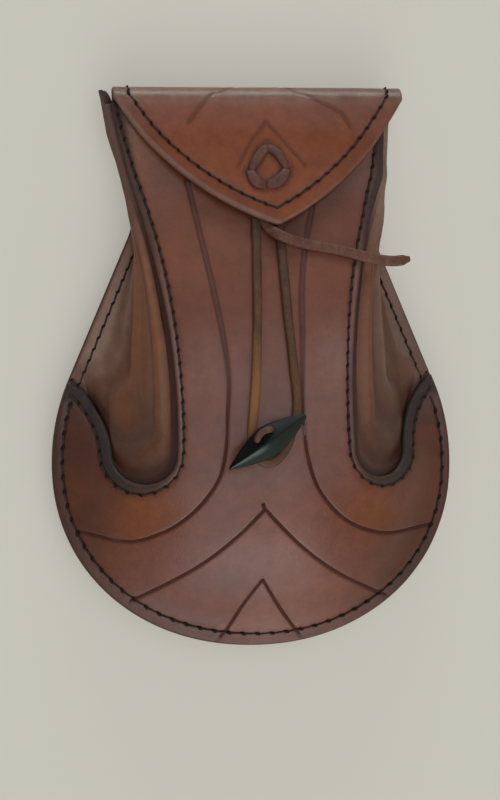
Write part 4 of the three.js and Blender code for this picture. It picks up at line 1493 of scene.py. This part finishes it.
# Warm spot low on each wall: place and half width across, place and half length along
WARM_SPOT = (0.58, 0.16, 0.76, 0.07)
# Strengths of each wall's looks: neck is painted shade at the neck and shade is painted shade low down;
# least_shade is the shade's share on the back half
WALL_LOOKS = {
    -1: {"neck": 0.45, "spot": 0.75, "lip": 0.15, "flange": 0.75, "shade": 0.5, "least_shade": 0},
    1: {"neck": 0, "spot": 0.2, "lip": 0.85, "flange": 0.4, "shade": 0.6, "least_shade": 0.45},
}
# Where a wall's looks start and end, across it and along it
WALL_ACROSS = {"valley": (0.945, 0.985), "rim": (-0.98, -0.85), "flange": (0.1, 0.35), "shade": (0.3, 0.75)}
WALL_ALONG = {
    "valley": (0.14, 0.3), "neck": (0.16, 0.27), "lip": (0.2, 0.32), "shade": (0.54, 0.78),
    "ridges": (0.2, 0.35, 0.66, 0.86), "flange": (0.2, 0.3, 0.85, 0.95),
}
# Painted shade in the valley beside the front, dye on the back rim, painted shade in the folds' creases
VALLEY_SHADE = 0.85
WALL_RIM_DYE = 0.8
CREASE_SHADE = 0.25


def ridges(across, places):
    return strongest(*(strength * bell(across - place, half) for place, half, strength in places))


def wall_colours(side, rows):
    """Painted shade at a wall's neck, in the valley beside the front, in its creases and low down; painted
    sheen on its folds' tops; its dark rim and warm middle.
    """
    look = WALL_LOOKS[side]
    u = np.linspace(0, 1, rows)[:, None]
    across = wall_across()[None]
    fold = through(GUSSET_FOLDS[side], np.clip(across, 0, 1)) * band(u, *FOLD_SPAN)
    valley = smoothstep(across, *WALL_ACROSS["valley"]) * smoothstep(u, *WALL_ALONG["valley"])
    down = band(u, *WALL_ALONG["ridges"])
    place, half, low, half_length = WARM_SPOT
    spot = bell(across - place, half) * bell(u - low, half_length)
    flange = fall(across, *WALL_ACROSS["flange"]) * band(u, *WALL_ALONG["flange"])
    lip = look["lip"] * fall(u, *WALL_ALONG["lip"])
    neck = look["neck"] * fall(u, *WALL_ALONG["neck"])
    shade = lerp(look["least_shade"], 1, smoothstep(across, *WALL_ACROSS["shade"]))
    return {
        "edge": np.maximum(neck, WALL_RIM_DYE * fall(across, *WALL_ACROSS["rim"])),
        "groove": np.maximum(VALLEY_SHADE * valley, CREASE_SHADE * np.clip(-fold, 0, 1)),
        "pale": strongest(look["flange"] * flange, ridges(across, SHEEN_RIDGES[side]) * down, lip),
        "warm": np.maximum(ridges(across, WARM_RIDGES[side]) * down, look["spot"] * spot),
        "shade": look["shade"] * smoothstep(u, *WALL_ALONG["shade"]) * shade,
    }


def fold_window(rows, columns):
    """How much a wall may wrinkle: nothing along its flanges and ends."""
    u = np.linspace(0, 1, rows)[:, None]
    w = np.linspace(0, 1, columns)[None]
    return (band(u, *WRINKLE_ALONG) * band(w, *WRINKLE_ACROSS)).reshape(-1)


def level_face(z, way):
    """A flat face at one height, as a surface whose outward way is up (1) or down (-1)."""
    def surface(flat):
        points = np.column_stack([flat, np.full(len(flat), z)])
        return points, np.tile([0.0, 0.0, way], (len(flat), 1))

    return surface


# Outer face of the gussets' back flanges
SHOULDER_FACE = level_face(BOW_HEIGHT + LEATHER + GAP + SOFT_LEATHER, 1)


def shoulder_seam(side):
    y = np.linspace(SHOULDER_SEAM_TOP, SIDES[side]["tip_y"] - SHOULDER_PAST_TIP, SHOULDER_POINTS)
    rim = np.column_stack([rim_half(y), y])
    return Seam(beside(rim, -SHOULDER_INSET) * np.array([side, 1]), FINE_STITCH)


# Belt loop, lacing and toggle

def strap_seams():
    """A box of stitches on each sewn end of the belt loop."""
    x = LOOP_HALF - LOOP_INSET
    seams = []
    for end, way in zip(LOOP_Y, (1, -1)):
        outside = end + way * LOOP_INSET
        inside_y = end + way * (LOOP_SEWN - LOOP_INSET)
        box = ((-x, inside_y), (-x, outside), (x, outside), (x, inside_y), (-x, inside_y))
        seams.extend(Seam(pair, FINE_STITCH) for pair in zip(box, box[1:]))
    return seams


def belt_loop(material, thread):
    """Strap on the back: two sewn ends and a straight run that leaves a tunnel for the belt."""
    sewn_z = BOW_HEIGHT - GAP - LEATHER / 2
    run_z = LEATHER / 2
    low, high = LOOP_Y
    profile = (
        (low, sewn_z), (low + LOOP_SEWN - 1, sewn_z), (low + LOOP_SEWN + LOOP_RAMP, run_z),
        (high - LOOP_SEWN - LOOP_RAMP, run_z), (high - LOOP_SEWN + 1, sewn_z), (high, sewn_z),
    )
    line = eased(spaced(profile, LOOP_STEP)[None], LOOP_EASING)[0]
    line = np.column_stack([np.zeros(len(line)), line])
    points, faces = ribbon(line, (0.0, 0.0, -1.0), (LOOP_HALF, LEATHER / 2), sides=64, power=14)
    pale_share = fall(LOOP_HALF - np.abs(points[:, 0]), *LOOP_WORN)
    mesh = make_mesh("belt_strap", points, faces, pale=pale_share)
    add_piece("belt_strap", mesh, material, "belt_loop")
    face = level_face(sewn_z - LEATHER / 2, -1)
    add_stitches("belt_loop_stitches", face, strap_seams(), FLAT_LIFT, thread)


def lacing_lines():
    """Middle lines of the lacing's bars in the sheet, each with its half width."""
    centre = on_sheet([LACING_CENTRE])[0]
    holes = on_sheet(LACING_HOLES)
    share = np.linspace(0, 1, LACING_STEPS)
    lines = []
    for a, b, (bow, half) in zip(holes, np.roll(holes, -1, axis=0), LACING_BARS):
        outward = unit((a + b) / 2 - centre)
        lines.append((lerp(a, b, share[:, None]) + np.outer(bow * np.sin(math.pi * share), outward), half))
    return lines


def lacing(material):
    """Ring of lace on the flap: a bar from hole to hole, raised in the middle and sunk at its ends."""
    parts = []
    arch = np.sin(math.pi * np.linspace(0, 1, LACING_STEPS))
    for flat, half in lacing_lines():
        points, normal = sheet_surface(flat)
        line = points + normal * lerp(*LACING_HEIGHT, arch ** 0.45)[:, None]
        taper = lerp(LACING_NARROW, 1, arch ** 0.7)
        parts.append(ribbon(line, normal, (half, LACING_THICK), taper=taper))
    points, faces = joined(parts)
    add_piece("lacing_bars", make_mesh("lacing_bars", points, faces), material, "flap_lacing")


def toggle_frame(points):
    """Points in the toggle's own directions, turned into the object's frame."""
    c, s = math.cos(TOGGLE_TURN), math.sin(TOGGLE_TURN)
    turned = points @ np.array([[c, s, 0], [-s, c, 0], [0, 0, 1]])
    return turned + np.array([TOGGLE_PLACE[0], TOGGLE_PLACE[1], 0])


def toggle(material):
    """Four-sided double point with softened ridges and two holes for its tie."""
    first, last = TOGGLE_PROFILE[0][0], TOGGLE_PROFILE[-1][0]
    tail_count, middle_count, head_count = TOGGLE_RINGS
    along = np.concatenate([
        np.linspace(first, first + POINT_RUN, tail_count),
        np.linspace(first + MIDDLE_INSET, last - MIDDLE_INSET, middle_count),
        np.linspace(last - POINT_RUN, last, head_count),
    ])[:, None]
    radius = through(TOGGLE_PROFILE, along)
    turn = np.linspace(0, 2 * math.pi, TOGGLE_SIDES, endpoint=False)[None]
    power = TOGGLE_SOFTNESS
    size = (np.abs(np.cos(turn)) ** power + np.abs(np.sin(turn)) ** power) ** (-1 / power)
    across = radius * np.cos(turn) * size
    height = radius * np.sin(turn) * size * TOGGLE_FLATNESS + TOGGLE_PLACE[2]
    rings = np.stack([np.broadcast_to(along, across.shape), across, height], axis=2)
    # Painted light: the green face and the right half lighter, and a painted highlight streak on the left
    # half
    green = np.maximum(band(turn, *GREEN_FACE), GREEN_SHARE * smoothstep(along, *GREEN_RIGHT))
    left_half = smoothstep(-along, *STREAK_LEFT) * smoothstep(along, first, first + STREAK_TIP)
    values = {"green": green.reshape(-1), "pale": (band(turn, *HIGHLIGHT_STREAK) * left_half).reshape(-1)}
    points = toggle_frame(rings.reshape(-1, 3))
    mesh = make_mesh("horn_toggle", points, tube_faces(len(along), TOGGLE_SIDES), **values)
    piece = add_piece("horn_toggle", mesh, material, "toggle")
    for place in TIE_HOLES:
        drill(piece, place)


def drill(piece, place):
    """Cut a round hole through the toggle."""
    reach = max(radius for _, radius in TOGGLE_PROFILE) + 2
    line = np.array([[*place, TOGGLE_PLACE[2] - reach], [*place, TOGGLE_PLACE[2] + reach]])
    bore = (TIE_HOLE_RADIUS, TIE_HOLE_RADIUS)
    points, faces = ribbon(toggle_frame(line), (1.0, 0.0, 0.0), bore, sides=28, power=2)
    rod = put_in_scene("drill", make_mesh("drill", points, faces))
    cut = piece.modifiers.new("hole", "BOOLEAN")
    cut.object = rod
    cut.operation = "DIFFERENCE"
    graph = bpy.context.evaluated_depsgraph_get()
    drilled = bpy.data.meshes.new_from_object(piece.evaluated_get(graph))
    piece.modifiers.clear()
    piece.data = drilled
    bpy.data.objects.remove(rod)


def toggle_tie(material):
    """Short lace up through one hole of the toggle and down into the other."""
    line = toggle_frame(curve(TIE_ROUTE, TIE_STEP))
    way = toggle_frame(np.array([[0, 1.0, 0], [0, 0, 0]]))
    points, faces = ribbon(line, unit(way[0] - way[1]), TIE_HALF, power=2.4)
    add_piece("tie_lace", make_mesh("tie_lace", points, faces), material, "toggle_tie")


# Stage

# Area light: place and size in metres, power in watts
LIGHT_PLACE = (0.95, 0.25, 1.3)
LIGHT_SIZE = 0.6
LIGHT_POWER = 0.9
FLOOR_REACH = 3000
FLOOR_Z = -0.3
SKY = (0.235, 0.232, 0.228)
SKY_GLOWS = (
    # direction, cosines where the glow starts and is full, colour
    ((0.05, -0.95, 0.3), 0.75, 0.97, (1.42, 1.58, 1.64)),
    ((0.05, -0.6, 0.8), 0.75, 0.97, (1.05, 1.06, 1.05)),
    ((0.12, 0.19, 0.97), 0.905, 0.97, (1.25, 1.46, 1.54)),
    ((0, 0.99, -0.03), 0.9, 0.96, (7.2, 8.5, 8.9)),
)


def add_stage():
    """Paper under the bag, a light on the right and the room's soft sky."""
    bpy.context.scene.view_settings.view_transform = "Standard"
    corners = [(x * FLOOR_REACH, y * FLOOR_REACH, FLOOR_Z) for x, y in ((-1, -1), (1, -1), (1, 1), (-1, 1))]
    floor = put_in_scene("floor", make_mesh("floor", np.array(corners, float), [(0, 1, 2, 3)]))
    floor.data.materials.append(floor_paper())
    data = bpy.data.lights.new("right_light", "AREA")
    data.size = LIGHT_SIZE
    data.energy = LIGHT_POWER
    light = put_in_scene("right_light", data)
    light.location = LIGHT_PLACE
    light.rotation_euler = Vector(LIGHT_PLACE).to_track_quat("Z", "Y").to_euler()
    bpy.context.scene.world = soft_sky()


def soft_sky():
    """Dim room with soft glows: two past the bag's lower end, one overhead and one past its fold."""
    world = bpy.data.worlds.new("world")
    world.use_nodes = True
    sky = Nodes(world.node_tree)
    way = sky.node("ShaderNodeTexCoord").outputs["Generated"]
    colour = (*SKY, 1.0)
    for direction, low, high, glow in SKY_GLOWS:
        aim = Vector(direction).normalized()
        dot = sky.node("ShaderNodeVectorMath", {0: way, 1: aim}, operation="DOT_PRODUCT").outputs["Value"]
        colour = sky.mix(sky.span(dot, low, high, ease="SMOOTHSTEP"), colour, (*glow, 1.0), "ADD")
    background = world.node_tree.nodes["Background"]
    sky.put(background.inputs["Color"], colour)
    sky.put(background.inputs["Strength"], 1.0)
    return world


add_camera()
LACE = lace_leather("lace_leather", linear(66, 38, 21), linear(110, 69, 37))
END_LACE = lace_leather("end_leather", linear(86, 49, 36), linear(120, 74, 55))
LACING = lace_leather("lacing_leather", linear(78, 45, 33), linear(108, 66, 50))
add_lace("loop", LOOP_ROUTE, LACE, False)
add_lace("end", END_ROUTE, END_LACE, True)

THREAD = thread_wax()
FRONT_COLOURS = {
    "dark": (97, 47, 31), "light": (116, 61, 41), "warm": (132, 70, 33),
    "pale": (130, 102, 92), "edge": (22, 16, 13),
}
FLAP_COLOURS = {
    "dark": (110, 54, 30), "light": (126, 65, 37), "warm": (132, 72, 42),
    "pale": (136, 110, 100), "edge": (84, 60, 46),
}
# The wall's edge colour is for its rim and for the painted shade at the left wall's neck
WALL_COLOURS = {
    "dark": (91, 55, 40), "light": (112, 71, 52), "warm": (136, 78, 40),
    "pale": (136, 104, 88), "edge": (76, 61, 59),
}
FRONT_LEATHER = leather("front_leather", FRONT_COLOURS, 0.36, 0.5)
FLAP_LEATHER = leather("flap_leather", FLAP_COLOURS, 0.33, 0.26)
WALL_LEATHER = leather("wall_leather", WALL_COLOURS, 0.48, 0.4, 1.6)

front_panel(FRONT_LEATHER, THREAD)
back_and_flap(FLAP_LEATHER, THREAD)
gusset(-1, WALL_LEATHER, THREAD)
gusset(1, WALL_LEATHER, THREAD)
belt_loop(FLAP_LEATHER, THREAD)
lacing(LACING)
toggle(dark_horn())
toggle_tie(LACE)
add_stage()
